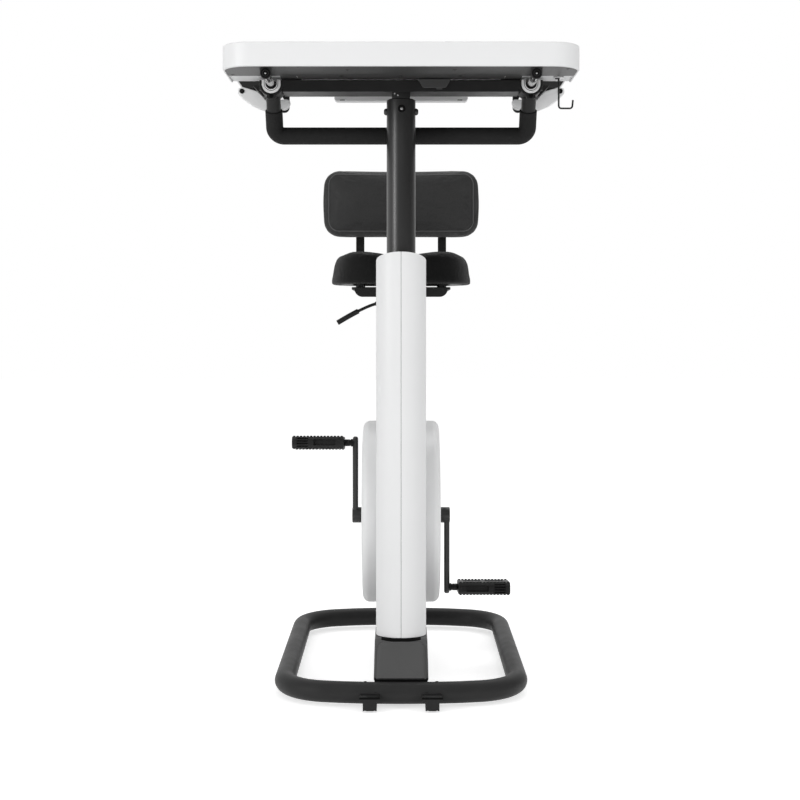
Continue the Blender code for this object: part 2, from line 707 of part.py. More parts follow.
def mast_shells():
    low = COVER_TOP + GAP
    seam = GAP / 2

    def top_at(y):
        return SHELL_FRONT_TOP - math.tan(SHELL_TOP_SLOPE) * (y - MAST_Y + SHELL_FRONT)

    rib_levels = (low + SHELL_RIB_HEIGHT, (low + OUTER_TUBE_TOP) / 2, OUTER_TUBE_TOP - 2 * SHELL_RIB_HEIGHT)
    for side, sign in SIDES:
        halves = [shell_outline(0, sign), shell_outline(SHELL_WALL, sign)]
        for half in halves:
            half[0] = (sign * seam, half[0][1])
            half[-1] = (sign * seam, half[-1][1])
        outline = halves[0] + halves[1][::-1]
        count = len(outline)
        points = [(x, y, low) for x, y in outline] + [(x, y, top_at(y)) for x, y in outline]
        faces = [[i, (i + 1) % count, count + (i + 1) % count, count + i] for i in range(count)]
        faces += [list(range(count)), list(range(count, 2 * count))]
        shell = solid(f"mast_shell_{side}", points, faces, WHITE_PLASTIC)
        for level, height in enumerate(rib_levels):
            fuse(shell, shell_rib(f"{side}_{level}", sign, seam, height))


def mast():
    inside = OUTER_TUBE_RADIUS - OUTER_TUBE_WALL
    low = SPINE_TOP + GAP
    axis = (0, MAST_Y, 0)
    ring("mast_outer_tube", "Z", axis, low, OUTER_TUBE_TOP, inside, OUTER_TUBE_RADIUS, BLACK_PAINT, 32)
    bush = [
        (OUTER_TUBE_TOP - BUSH_DEPTH, INNER_TUBE_RADIUS + RUN),
        (OUTER_TUBE_TOP - BUSH_DEPTH, inside - GAP),
        (OUTER_TUBE_TOP + GAP, inside - GAP),
        (OUTER_TUBE_TOP + GAP, OUTER_TUBE_RADIUS),
        (OUTER_TUBE_TOP + GAP + BUSH_FLANGE, OUTER_TUBE_RADIUS),
        (OUTER_TUBE_TOP + GAP + BUSH_FLANGE, INNER_TUBE_RADIUS + RUN),
    ]
    turned("mast_bush", bush, "Z", axis, BLACK_PLASTIC, 24)
    mast_shells()

    place = (0, MAST_Y, INNER_TUBE_BOTTOM)
    length = INNER_TUBE_TOP - INNER_TUBE_BOTTOM
    bore = INNER_TUBE_RADIUS - INNER_TUBE_WALL
    ring("mast_inner_tube", "Z", place, 0, length, bore, INNER_TUBE_RADIUS, BLACK_PAINT, 32)

    plug_bottom = INNER_TUBE_TOP - HEAD_PLUG_LENGTH
    head = block(
        "mast_head",
        (-HEAD_PLATE_LENGTH / 2, MAST_Y - BEAM_DEPTH / 2, INNER_TUBE_TOP + GAP),
        (HEAD_PLATE_LENGTH / 2, MAST_Y + BEAM_DEPTH / 2, HEAD_PLATE_TOP),
        BLACK_PAINT,
    )
    plug_top = INNER_TUBE_TOP + GAP + HEAD_PLUG_RIM
    plug = rod("head_plug", "Z", axis, plug_bottom, plug_top, bore - GAP, None, 32)
    fuse(head, plug)

    cylinder_top = plug_bottom - GAP
    cylinder_bottom = cylinder_top - GAS_CYLINDER_LENGTH
    bore_top = cylinder_bottom + GAS_BORE_DEPTH
    clear = GAS_ROD_RADIUS + RUN
    profile = [(bore_top, 0), (bore_top, clear), (cylinder_bottom, clear)]
    profile += [(cylinder_bottom, GAS_CYLINDER_RADIUS), (cylinder_top, GAS_CYLINDER_RADIUS)]
    profile += [(cylinder_top, 0)]
    turned("mast_gas_cylinder", profile, "Z", axis, STEEL, 20)
    rod("mast_gas_rod", "Z", axis, low, GAS_ROD_TOP, GAS_ROD_RADIUS, CHROME, 16)


# Beam, castings, handlebar

def u_outline(x, z, radius, top, steps=8):
    """A half-round at the bottom with straight sides up to the top."""
    return [(x + radius, top), *reversed(arc((x, z), radius, -180, 0, steps)), (x - radius, top)]


def u_trough(name, x, outer, inner, top, low_y, high_y, spec):
    """A trough along Y, open at the top, round the rod at x."""
    outside = u_outline(x, ROD_Z, outer, top)
    inside = u_outline(x, ROD_Z, inner, top)
    return prism(name, outside + inside[::-1], "Y", low_y, high_y, spec)


def handlebar_path():
    """The U in its own leaning plane: its corners, its direction down and back, and the points."""
    top = Vector((0, MAST_Y, ROD_Z))
    fall = Vector((0, HANDLEBAR_BACK, -HANDLEBAR_DROP))
    length = fall.length
    fall.normalize()
    bend = HANDLEBAR_TUBE_RADIUS + GAP + GRIP_WALL + GRIP_INNER_BEND
    half = ROD_SPREAD
    flat = [(-half, 0), (-half, length), (half, length), (half, 0)]
    bent = rounded(flat, [0, bend, bend, 0], 7)
    return top, fall, length, bent


def handlebar_and_grip():
    top, fall, length, bent = handlebar_path()

    def in_space(x, down):
        return top + fall * down + Vector((x, 0, 0))

    across = Vector((1, 0, 0)).cross(fall)
    path = [in_space(x, down) for x, down in bent]
    bar = swept("handlebar", path, HANDLEBAR_TUBE_RADIUS, across, BLACK_PAINT, 12)
    for side, sign in SIDES:
        clearance = rod(
            f"casting_clearance_{side}",
            "Y",
            (sign * ROD_SPREAD, MAST_Y, ROD_Z),
            -BEAM_DEPTH,
            BEAM_DEPTH,
            CASTING_RADIUS + GAP,
            None,
            32,
        )
        cut(bar, clearance)
    start = GRIP_TOP_DROP * length / HANDLEBAR_DROP
    covered = [(x, max(down, start)) for x, down in bent]
    sleeve = [in_space(x, down) for x, down in covered]
    outer = HANDLEBAR_TUBE_RADIUS + GAP + GRIP_WALL
    swept("handlebar_grip", sleeve, outer, across, BLACK_FOAM, 12, bore=HANDLEBAR_TUBE_RADIUS + GAP)


def beam():
    front = MAST_Y - BEAM_DEPTH / 2
    back = MAST_Y + BEAM_DEPTH / 2
    end = ROD_SPREAD - CASTING_RADIUS + BEAM_WALL / 2
    wall = BEAM_WALL
    floor = BEAM_BOTTOM + wall
    outline = [(front, BEAM_BOTTOM), (back, BEAM_BOTTOM), (back, BEAM_TOP), (back - wall, BEAM_TOP)]
    outline += [(back - wall, floor), (front + wall, floor), (front + wall, BEAM_TOP), (front, BEAM_TOP)]
    channel = prism("cross_beam", outline, "X", -end, end, BLACK_PAINT)
    for side, sign in SIDES:
        x = sign * ROD_SPREAD
        bore = SADDLE_RADIUS + GAP
        fuse(channel, u_trough(f"casting_{side}", x, CASTING_RADIUS, bore, BEAM_TOP, front, back, None))
        inner = SADDLE_RADIUS - SADDLE_WALL
        saddle_front = front - SADDLE_AHEAD
        u_trough(f"rod_saddle_{side}", x, SADDLE_RADIUS, inner, BEAM_TOP, saddle_front, back, STEEL)
        liner = inner - GAP
        hole = liner - LINER_WALL
        liner_front = saddle_front - GAP
        u_trough(f"rod_liner_{side}", x, liner, hole, BEAM_TOP, liner_front, back, BLACK_PLASTIC)
    handlebar_and_grip()


# Desk

def desk_outline(inset):
    half = DESK_WIDTH / 2 - inset
    front = DESK_FRONT_Y + inset
    rear = DESK_REAR_Y - inset
    corners = [(-half, front), (half, front), (half, rear), (-half, rear)]
    return rounded(corners, DESK_CORNER_RADIUS - inset, 8)


def desktop():
    """The board: rings of the rounded outline, with small rounds at the top and bottom edges. Its edge
    hangs down as a lip round the plate's recess."""
    r = DESK_EDGE_ROUND
    lip = DESK_BOTTOM - DESK_LIP
    levels = []
    for degrees in (0, 30, 60, 90):
        t = math.radians(degrees)
        levels.append((r * (1 - math.sin(t)), lip + r * (1 - math.cos(t))))
    for degrees in (90, 60, 30, 0):
        t = math.radians(degrees)
        levels.append((r * (1 - math.sin(t)), DESK_TOP - r * (1 - math.cos(t))))
    rings = [[(x, y, z) for x, y in desk_outline(inset)] for inset, z in levels]
    board = lofted("desktop", rings, WHITE_DESK)
    step = MAST_Y + DESK_STEP_BEHIND_MAST
    past = DESK_REAR_Y + PAST
    below = lip - PAST
    outline = [(step, below), (step, lip), (step + DESK_STEP_RUN, DESK_REAR_BOTTOM)]
    outline += [(past, DESK_REAR_BOTTOM), (past, below)]
    cut(board, prism("desk_step", outline, "X", -DESK_WIDTH, DESK_WIDTH, None))
    inset = PLATE_INSET - GAP
    half, front, rear = DESK_WIDTH / 2 - inset, DESK_FRONT_Y + inset, step + DESK_STEP_RUN
    corners = [(-half, front), (half, front), (half, rear), (-half, rear)]
    corner = DESK_CORNER_RADIUS - inset
    recess = rounded(corners, [corner, corner, 0, 0], 8)
    cut(board, prism("plate_recess", recess, "Z", below, DESK_BOTTOM, None))


def underside_plate():
    """The dark plate under the front of the desk, with the two ears that hold the rods."""
    half = DESK_WIDTH / 2 - PLATE_INSET
    front = DESK_FRONT_Y + PLATE_INSET
    side_end = DESK_FRONT_Y + PLATE_SIDE_DEPTH
    middle_end = DESK_FRONT_Y + PLATE_MIDDLE_DEPTH
    middle = ROD_SPREAD - PLATE_STEP_FROM_ROD
    corners = [(-half, front), (half, front), (half, side_end), (middle, side_end), (middle, middle_end)]
    corners += [(-middle, middle_end), (-middle, side_end), (-half, side_end)]
    corner = DESK_CORNER_RADIUS - PLATE_INSET
    radii = [corner, corner, *[PLATE_ROUND] * 6]
    top = PLATE_BOTTOM + PLATE_THICKNESS
    plate = prism("desk_underside", rounded(corners, radii, 6), "Z", PLATE_BOTTOM, top, GREY_PLATE)
    ear_y = DESK_FRONT_Y + EAR_BEHIND_EDGE
    for side, sign in SIDES:
        x = sign * ROD_SPREAD
        half_round = arc((x, ROD_Z), EAR_BELOW_ROD, 180, 360, 8)
        outline = [(x - EAR_WIDTH / 2, top), *half_round, (x + EAR_WIDTH / 2, top)]
        ear = prism(f"ear_{side}", outline, "Y", ear_y, ear_y + EAR_THICKNESS, None)
        bore_end = ear_y + EAR_THICKNESS + PAST
        bore = rod(f"ear_bore_{side}", "Y", (x, 0, ROD_Z), ear_y - PAST, bore_end, EAR_BORE_RADIUS, None, 16)
        fuse(plate, ear)
        cut(plate, bore)


def slide_rods():
    """Each rod has a screw head ahead of its ear and a welded tab behind, up to the board."""
    ear_y = DESK_FRONT_Y + EAR_BEHIND_EDGE
    start = ear_y + EAR_THICKNESS + GAP
    tail = DESK_REAR_Y - ROD_TAIL
    for side, sign in SIDES:
        x = sign * ROD_SPREAD
        neck = EAR_BORE_RADIUS - GAP
        head = ear_y - GAP
        profile = [(head - ROD_SCREW_HEAD, 0), (head - ROD_SCREW_HEAD, ROD_SCREW_HEAD_RADIUS)]
        profile += [(head, ROD_SCREW_HEAD_RADIUS), (head, neck), (start, neck), (start, ROD_RADIUS)]
        profile += [(tail, ROD_RADIUS), (tail, 0)]
        made = turned(f"slide_rod_{side}", profile, "Y", (x, 0, ROD_Z), CHROME, 20)
        tab = block(
            f"rod_tab_{side}",
            (x - ROD_TAB_WIDTH / 2, tail - ROD_REAR_TAB, ROD_Z - ROD_RADIUS),
            (x + ROD_TAB_WIDTH / 2, tail + ROD_REAR_TAB, DESK_REAR_BOTTOM - GAP),
            None,
        )
        fuse(made, tab)


def tray_and_hook():
    high = DESK_REAR_BOTTOM - GAP
    low = high - TRAY_HEIGHT
    back = DESK_REAR_Y - TRAY_FROM_REAR_EDGE
    front = back - TRAY_DEPTH
    half = TRAY_WIDTH / 2
    wall = TRAY_WALL
    floor, roof = low + wall, high - wall
    outline = [(front, low), (back, low), (back, floor), (front + wall, floor), (front + wall, roof)]
    outline += [(back, roof), (back, high), (front, high)]
    prism("underside_tray", outline, "X", -half, half, WHITE_PLASTIC)

    y = DESK_FRONT_Y + HOOK_BEHIND_EDGE
    pad_top = DESK_BOTTOM - GAP
    pad = block(
        "bag_hook",
        (HOOK_SPREAD - HOOK_PAD / 2, y - HOOK_PAD / 2, pad_top - HOOK_PAD_THICKNESS),
        (HOOK_SPREAD + HOOK_PAD / 2, y + HOOK_PAD / 2, pad_top),
        STEEL,
    )
    bottom = pad_top - HOOK_DROP
    corners = [(HOOK_SPREAD, pad_top - HOOK_PAD_THICKNESS / 2), (HOOK_SPREAD, bottom)]
    corners += [(HOOK_SPREAD + HOOK_REACH, bottom), (HOOK_SPREAD + HOOK_REACH, bottom + HOOK_LIP)]
    bent = rounded(corners, [0, HOOK_BEND, HOOK_BEND, 0], 4)
    wire = swept("hook_wire", [(x, y, z) for x, z in bent], HOOK_WIRE_RADIUS, (0, 1, 0), None, 8)
    fuse(pad, wire)


# Levers on the beam

def lever_shape():
    """The lever's outline from its bolt, as distances towards the middle and up."""
    corners = [(0.002, 0.0085), (-0.008, 0.0055), (-0.0085, -0.004), (0.000, -0.0135), (0.020, -0.028)]
    corners += [(0.042, -0.0375), (0.089, -0.035), (0.097, -0.0145), (0.048, -0.0185), (0.034, -0.001)]
    radii = [0.004, 0.004, 0.006, 0.010, 0.010, 0.014, 0.009, 0.007, 0.006, 0.006]
    return rounded(corners, radii, 3)


def side_levers():
    casting_back = MAST_Y + BEAM_DEPTH / 2
    front = casting_back + LEVER_BEHIND_CASTING
    back = front + LEVER_THICKNESS
    for side, sign in SIDES:
        pivot = (sign * LEVER_PIVOT_SPREAD, front, ROD_Z + LEVER_PIVOT_ABOVE_ROD)
        outline = [(pivot[0] - sign * a, pivot[2] + b) for a, b in lever_shape()]
        lever = prism(f"side_lever_{side}", outline, "Y", front, back, WHITE_PLASTIC, pivot)
        centre = (pivot[0], 0, pivot[2])
        radius = LEVER_BOLT_RADIUS + RUN
        cut(lever, rod(f"lever_hole_{side}", "Y", centre, front - PAST, back + PAST, radius, None, 16))
        lever_bracket(side, sign, pivot, casting_back, back + RUN)


def lever_bracket(side, sign, pivot, casting_back, start):
    """An angle bracket from the casting to behind the lever, with the bolt that the lever turns on."""
    near = sign * (ROD_SPREAD + CASTING_RADIUS + GAP)
    low = pivot[2] - LEVER_BRACKET_REACH
    high = pivot[2] + LEVER_BRACKET_REACH
    end = start + LEVER_BRACKET_THICKNESS
    half_round = arc((0, 0), LEVER_BRACKET_REACH, -90, 90, 6)
    outline = [(near, low), *[(pivot[0] + sign * a, pivot[2] + b) for a, b in half_round], (near, high)]
    bracket = prism(f"lever_bracket_{side}", outline, "Y", start, end, BLACK_PAINT)
    front = casting_back - LEVER_ARM_OVERLAP
    step = casting_back + LEVER_BRACKET_THICKNESS
    side_view = [(front, low + SUNK), (end - SUNK, low + SUNK), (end - SUNK, high - SUNK)]
    side_view += [(step, high - SUNK), (step, BEAM_TOP), (front, BEAM_TOP)]
    sheet = sorted((near, near + sign * LEVER_BRACKET_THICKNESS))
    arm = prism(f"lever_arm_{side}", side_view, "X", *sheet, None)
    head = pivot[1] - RUN
    profile = [(start + SUNK, 0), (start + SUNK, LEVER_BOLT_RADIUS), (head, LEVER_BOLT_RADIUS)]
    profile += [(head, LEVER_BOLT_HEAD_RADIUS), (head - LEVER_BOLT_HEAD, LEVER_BOLT_HEAD_RADIUS)]
    profile += [(head - LEVER_BOLT_HEAD, 0)]
    fuse(bracket, arm, turned(f"lever_bolt_{side}", profile, "Y", (pivot[0], 0, pivot[2]), None, 16))


def release_paddle():
    """The paddle in front of the beam that frees the mast's gas spring."""
    y = MAST_Y - BEAM_DEPTH / 2 - GAP - PADDLE_BARREL_RADIUS
    z = BEAM_TOP - PADDLE_BARREL_RADIUS
    top = z + PADDLE_ABOVE_BARREL
    outline = [(PADDLE_OFFSET - PADDLE_TOP_WIDTH / 2, top), (PADDLE_OFFSET + PADDLE_TOP_WIDTH / 2, top)]
    outline += [(PADDLE_OFFSET + PADDLE_BOTTOM_WIDTH / 2, top - PADDLE_HEIGHT)]
    outline += [(PADDLE_OFFSET - PADDLE_BOTTOM_WIDTH / 2, top - PADDLE_HEIGHT)]
    blade = prism(
        "release_paddle",
        rounded(outline, [PADDLE_ROUND, PADDLE_ROUND, PADDLE_TIP_ROUND, PADDLE_TIP_ROUND], 3),
        "Y",
        y - PADDLE_BARREL_RADIUS,
        y - PADDLE_BARREL_RADIUS + PADDLE_THICKNESS,
        BLACK_PLASTIC,
        (PADDLE_OFFSET, y, z),
    )
    half = PADDLE_BARREL_LENGTH / 2
    barrel = rod("paddle_barrel", "X", (PADDLE_OFFSET, y, z), -half, half, PADDLE_BARREL_RADIUS, None, 12)
    fuse(blade, barrel)


# Drive

def housing():
    """The disc-shaped cover in two halves, each a turned shell, open towards the other."""
    centre = Vector((0, HOUSING_Y, HOUSING_HEIGHT))
    wall = HOUSING_WALL
    knob = Vector((0, math.cos(KNOB_ANGLE), math.sin(KNOB_ANGLE)))
    for side, sign in SIDES:
        w = HOUSING_HALF_WIDTH
        r = HOUSING_RIM_ROUND
        corner = (w - r, HOUSING_RADIUS - r)
        rim = arc(corner, r, 0, 90, 4)
        inner = arc(corner, r - wall, 90, 0, 4)
        seam = [(GAP / 2, HOUSING_RADIUS), (GAP / 2, HOUSING_RADIUS - wall)]
        profile = [(w, 0), *rim, *seam, *inner, (w - wall, 0)]
        half = turned(f"housing_{side}", [(sign * a, b) for a, b in profile], "X", centre, WHITE_PLASTIC, 36)
        bore = AXLE_RADIUS + HOUSING_AXLE_GAP
        near, far = sign * (w - r), sign * (w + PAST)
        axle = rod(f"housing_bore_{side}", "X", PULLEY_PLACE, near, far, bore, None, 24)
        slot_half = FRAME_PLATE / 2 + HOUSING_SLOT_GAP
        slot = block(
            f"housing_slot_{side}",
            (-slot_half, HOUSING_Y - FRAME_FOOT_LENGTH / 2, SPINE_TOP),
            (slot_half, HOUSING_Y + FRAME_FOOT_LENGTH / 2, HOUSING_HEIGHT - HOUSING_SLOT_DROP),
            None,
        )
        low = HOUSING_RADIUS - 2 * PAST
        high = HOUSING_RADIUS + 2 * PAST
        stem = rod(f"housing_stem_{side}", "Z", (0, 0, 0), low, high, KNOB_STEM_RADIUS + RUN, None, 16)
        stem.matrix_world = Matrix.Translation(centre) @ knob.to_track_quat("Z", "Y").to_matrix().to_4x4()
        cut(half, axle, slot, stem)


def drive_frame():
    """The upright plate on the spine, with its foot and the barrels that hold both axles."""
    low = SPINE_TOP + GAP
    y, z = HOUSING_Y, CRANK_HEIGHT
    fy, fz = FLYWHEEL_PLACE.y, FLYWHEEL_PLACE.z
    sunk = low + FRAME_FOOT_THICKNESS / 2
    reach = FRAME_PLATE_LENGTH / 2
    outline = [(y - reach, sunk), (y + reach, sunk), *arc((fy, fz), FRAME_WHEEL_ROUND, -30, 120, 4)]
    outline += arc((y, z), FRAME_CRANK_ROUND, 125, 200, 3)
    plate = prism("drive_frame", outline, "X", -FRAME_PLATE / 2, FRAME_PLATE / 2, BLACK_PAINT)
    foot = block(
        "frame_foot",
        (-FRAME_FOOT_WIDTH / 2, y - FRAME_FOOT_LENGTH / 2, low),
        (FRAME_FOOT_WIDTH / 2, y + FRAME_FOOT_LENGTH / 2, low + FRAME_FOOT_THICKNESS),
        None,
    )
    half = FRAME_BARREL_LENGTH / 2
    crank_barrel = rod("crank_barrel", "X", PULLEY_PLACE, -half, half, FRAME_BARREL_RADIUS, None, 18)
    wheel_barrel = rod("wheel_barrel", "X", FLYWHEEL_PLACE, -half, half, FRAME_WHEEL_BARREL_RADIUS, None, 16)
    fuse(plate, foot, crank_barrel, wheel_barrel)
    crank_bore = rod("crank_bore", "X", PULLEY_PLACE, -2 * half, 2 * half, AXLE_RADIUS + RUN, None, 24)
    radius = FLYWHEEL_AXLE_RADIUS + RUN
    wheel_bore = rod("wheel_bore", "X", FLYWHEEL_PLACE, -2 * half, 2 * half, radius, None, 20)
    cut(plate, wheel_bore, crank_bore)


def crank():
    inner = HOUSING_HALF_WIDTH + CRANK_HUB_OFFSET
    outer = inner + CRANK_HUB_LENGTH
    axle_end = outer - AXLE_END_DEPTH
    rod("crank_axle", "X", PULLEY_PLACE, -axle_end, axle_end, AXLE_RADIUS, STEEL, 24)
    arm_high = outer - CRANK_ARM_INSET
    arm_low = arm_high - CRANK_ARM_THICKNESS
    y, z = HOUSING_Y, CRANK_HEIGHT
    for side, sign in SIDES:
        up = -sign  # the left arm stands up, the right one hangs down
        tip = z + up * CRANK_LENGTH
        hub_arc = arc((y, z), CRANK_ARM_WIDTH / 2, 180 if up > 0 else 0, 360 if up > 0 else 180, 8)
        tip_arc = arc((y, tip), CRANK_TIP_RADIUS, 0 if up > 0 else 180, 180 if up > 0 else 360, 8)
        low, high = sorted((sign * arm_low, sign * arm_high))
        arm = prism(f"crank_arm_{side}", hub_arc + tip_arc, "X", low, high, BLACK_PAINT, PULLEY_PLACE)
        low, high = sorted((sign * inner, sign * outer))
        hub = rod(f"crank_hub_{side}", "X", PULLEY_PLACE, low, high, CRANK_HUB_RADIUS, None, 24)
        pedal_outer = arm_high + PEDAL_FROM_ARM + PEDAL_WIDTH
        low, high = sorted((sign * (arm_high - SPINDLE_IN_ARM), sign * (pedal_outer - SPINDLE_END_GAP)))
        spindle = rod(f"pedal_spindle_{side}", "X", (0, y, tip), low, high, SPINDLE_RADIUS, None, 16)
        low, high = sorted((sign * (inner - PAST), sign * (outer + PAST)))
        bore = rod(f"crank_arm_bore_{side}", "X", PULLEY_PLACE, low, high, AXLE_RADIUS + GAP, None, 24)
        fuse(arm, hub, spindle)
        cut(arm, bore)
        pedal(side, sign, arm_high + PEDAL_FROM_ARM, Vector((0, y, tip)))


def pedal(side, sign, start, place):
    """A cage pedal: an outer frame with four windows round the spindle barrel."""
    low, high = sorted((sign * start, sign * (start + PEDAL_WIDTH)))
    middle = Vector(((low + high) / 2, place.y, place.z))
    half = Vector((PEDAL_WIDTH, PEDAL_LENGTH, PEDAL_THICKNESS)) / 2
    chamfer = PEDAL_CHAMFER
    outline = [(-half.y, chamfer - half.z), (chamfer - half.y, -half.z), (half.y - chamfer, -half.z)]
    outline += [(half.y, chamfer - half.z), (half.y, half.z - chamfer), (half.y - chamfer, half.z)]
    outline += [(chamfer - half.y, half.z), (-half.y, half.z - chamfer)]
    cos, sin = math.cos(-PEDAL_TILT), math.sin(-PEDAL_TILT)

    def tilted(a, b):
        return (middle.y + a * cos - b * sin, middle.z + a * sin + b * cos)

    body = prism(f"pedal_{side}", [tilted(a, b) for a, b in outline], "X", low, high, BLACK_PLASTIC, middle)
    near = PEDAL_BARREL_RADIUS
    far = half.y - PEDAL_WINDOW_MARGIN
    tall = PEDAL_THICKNESS / 2 + PAST
    rib = PEDAL_RIB / 2
    spans = ((low + PEDAL_END_WALL, middle.x - rib), (middle.x + rib, high - PEDAL_END_WALL))
    for number, (a, b) in enumerate(((-far, -near), (near, far))):
        window = [tilted(a, -tall), tilted(b, -tall), tilted(b, tall), tilted(a, tall)]
        for part, (first, last) in enumerate(spans):
            cut(body, prism(f"pedal_window_{side}_{number}_{part}", window, "X", first, last, None))
    bore_low, bore_high = sorted((sign * (start - PAST), sign * (start + PEDAL_WIDTH - PEDAL_END_CAP)))
    centre = (0, place.y, place.z)
    cut(body, rod(f"pedal_bore_{side}", "X", centre, bore_low, bore_high, SPINDLE_RADIUS + RUN, None, 16))


def transmission():
    belt_x = -PULLEY_OFFSET
    half = PULLEY_WIDTH / 2
    bore = AXLE_RADIUS + GAP
    low, high = belt_x - half, belt_x + half
    ring("drive_pulley", "X", PULLEY_PLACE, low, high, bore, PULLEY_RADIUS, BLACK_PLASTIC, 32)

    reach = FLYWHEEL_OFFSET + FLYWHEEL_THICKNESS / 2
    axle = FLYWHEEL_AXLE_RADIUS
    near = FLYWHEEL_OFFSET - FLYWHEEL_THICKNESS / 2
    profile = [(low - SMALL_PULLEY_STUB, 0), (low - SMALL_PULLEY_STUB, axle), (low, axle)]
    profile += [(low, SMALL_PULLEY_RADIUS), (high, SMALL_PULLEY_RADIUS), (high, axle), (near, axle)]
    profile += [(near, FLYWHEEL_RADIUS), (reach, FLYWHEEL_RADIUS), (reach, axle)]
    profile += [(reach + FLYWHEEL_STUB, axle), (reach + FLYWHEEL_STUB, 0)]
    turned("flywheel", profile, "X", FLYWHEEL_PLACE, CAST_IRON, 28)

    across = FLYWHEEL_PLACE - PULLEY_PLACE
    distance = math.hypot(across.y, across.z)
    heading = math.degrees(math.atan2(across.z, across.y))
    lean = math.degrees(math.acos((PULLEY_RADIUS - SMALL_PULLEY_RADIUS) / distance))

    def loop(extra):
        first, last = heading + lean, heading - lean
        big = arc((PULLEY_PLACE.y, PULLEY_PLACE.z), PULLEY_RADIUS + extra, first, last + 360, 32)
        small = arc((FLYWHEEL_PLACE.y, FLYWHEEL_PLACE.z), SMALL_PULLEY_RADIUS + extra, last, first, 10)
        return big + small

    low, high = belt_x - BELT_WIDTH / 2, belt_x + BELT_WIDTH / 2
    belt = prism("drive_belt", loop(BELT_GAP + BELT_THICKNESS), "X", low, high, RUBBER)
    cut(belt, prism("belt_inside", loop(BELT_GAP), "X", low - PAST, high + PAST, None))

    inner = FLYWHEEL_RADIUS + MAGNET_CLEARANCE
    centre = (FLYWHEEL_PLACE.y, FLYWHEEL_PLACE.z)
    outer = inner + MAGNET_THICKNESS
    shoe = arc(centre, outer, MAGNET_START, MAGNET_END, 8) + arc(centre, inner, MAGNET_END, MAGNET_START, 8)
    low = FLYWHEEL_OFFSET - MAGNET_WIDTH / 2
    high = FLYWHEEL_OFFSET + MAGNET_WIDTH / 2
    pivot = Vector((0, *around(math.radians(MAGNET_PIVOT), (inner + outer) / 2, centre)))
    arm = prism("magnet_arm", shoe, "X", low, high, BLACK_PAINT, pivot)
    start = MAGNET_END - MAGNET_STRAP_OVERLAP
    thin = (MAGNET_THICKNESS - MAGNET_STRAP_THICKNESS) / 2
    strap = arc(centre, outer - thin, start, MAGNET_PIVOT, 8)
    strap += arc(centre, inner + thin, MAGNET_PIVOT, start, 8)
    fuse(arm, prism("magnet_strap", strap, "X", FRAME_PLATE / 2 + GAP, high, None))


def resistance_knob():
    centre = Vector((0, HOUSING_Y, HOUSING_HEIGHT))
    out = Vector((0, math.cos(KNOB_ANGLE), math.sin(KNOB_ANGLE)))
    base_out = HOUSING_RADIUS + RUN
    profile = [(-KNOB_STEM_LENGTH, 0), (-KNOB_STEM_LENGTH, KNOB_STEM_RADIUS), (0, KNOB_STEM_RADIUS)]
    profile += [(KNOB_FOOT, KNOB_STEM_RADIUS), (KNOB_FOOT, KNOB_RADIUS)]
    profile += [(KNOB_HEIGHT - KNOB_TOP_ROUND, KNOB_SHOULDER_RADIUS), (KNOB_HEIGHT, KNOB_TOP_RADIUS)]
    profile += [(KNOB_HEIGHT, 0)]
    knob = turned("resistance_knob", profile, "Z", (0, 0, 0), BLACK_PLASTIC, 28)
    turn = out.to_track_quat("Z", "Y").to_matrix().to_4x4()
    knob.matrix_world = Matrix.Translation(centre + out * base_out) @ turn


# Seat

def seat_outline(inset, count=40):
    """The seat's plan: a soft rounded form, wider at the rear, as points round it."""
    middle = SEAT_Y - SEAT_FRONT_AHEAD_OF_POST + SEAT_LENGTH / 2
    power = 2 / SEAT_SQUARENESS
    points = []
    for i in range(count):
        c, s = around(2 * math.pi * i / count, 1)
        x = math.copysign(abs(c) ** power, c) * (SEAT_WIDTH / 2 - inset)
        y = math.copysign(abs(s) ** power, s) * (SEAT_LENGTH / 2 - inset)
        share = (y + SEAT_LENGTH / 2) / SEAT_LENGTH
        widen = SEAT_NOSE_SHARE + (1 - SEAT_NOSE_SHARE) * min(1, share * SEAT_WIDENING)
        points.append((x * widen, middle + y))
    return points


def seat_height(x, y, crown):
    """The top surface: a dip along the middle, raised sides, and a raised rear."""
    across = min(1, abs(x) / (SEAT_WIDTH / 2))
    back = (y - (SEAT_Y - SEAT_FRONT_AHEAD_OF_POST)) / SEAT_LENGTH
    dip = SEAT_DIP * math.exp(-((across / SEAT_DIP_REACH) ** 2))
    sides = SEAT_SIDE_LIFT * math.sin(math.pi * across) ** 2
    rear = SEAT_REAR_LIFT * max(0, back - SEAT_REAR_LIFT_START) / (1 - SEAT_REAR_LIFT_START)
    return SEAT_BOTTOM + crown - dip + sides + rear * (1 - across**4)


def seat_cushion():
    """Rings from the middle of the flat bottom, out to the fullest width, and in over the shaped top."""
    crown = SEAT_THICKNESS - SEAT_SIDE_LIFT
    # Each ring's inset from the outline, its share of the crown's height, and how far it follows the top
    levels = [(0.110, 0, 0), (0.060, 0, 0), (0.012, 0, 0), (0.003, 0.01, 0), (0, 0.05, 0), (0.0015, 0.18, 0)]
    levels += [(0.0045, 0.36, 0), (0.009, 0.60, 0.1), (0.0155, 0.80, 0.4), (0.0255, 0.94, 0.8)]
    levels += [(0.041, 1, 1), (0.060, 1, 1), (0.084, 1, 1), (0.108, 1, 1)]
    rings = []
    for inset, share, shaped in levels:
        plain = SEAT_BOTTOM + crown * share
        outline = seat_outline(inset)
        rings.append([(x, y, plain + (seat_height(x, y, crown) - plain) * shaped) for x, y in outline])
    lofted("seat_cushion", rings, BLACK_FABRIC, (0, SEAT_Y, SEAT_BOTTOM))


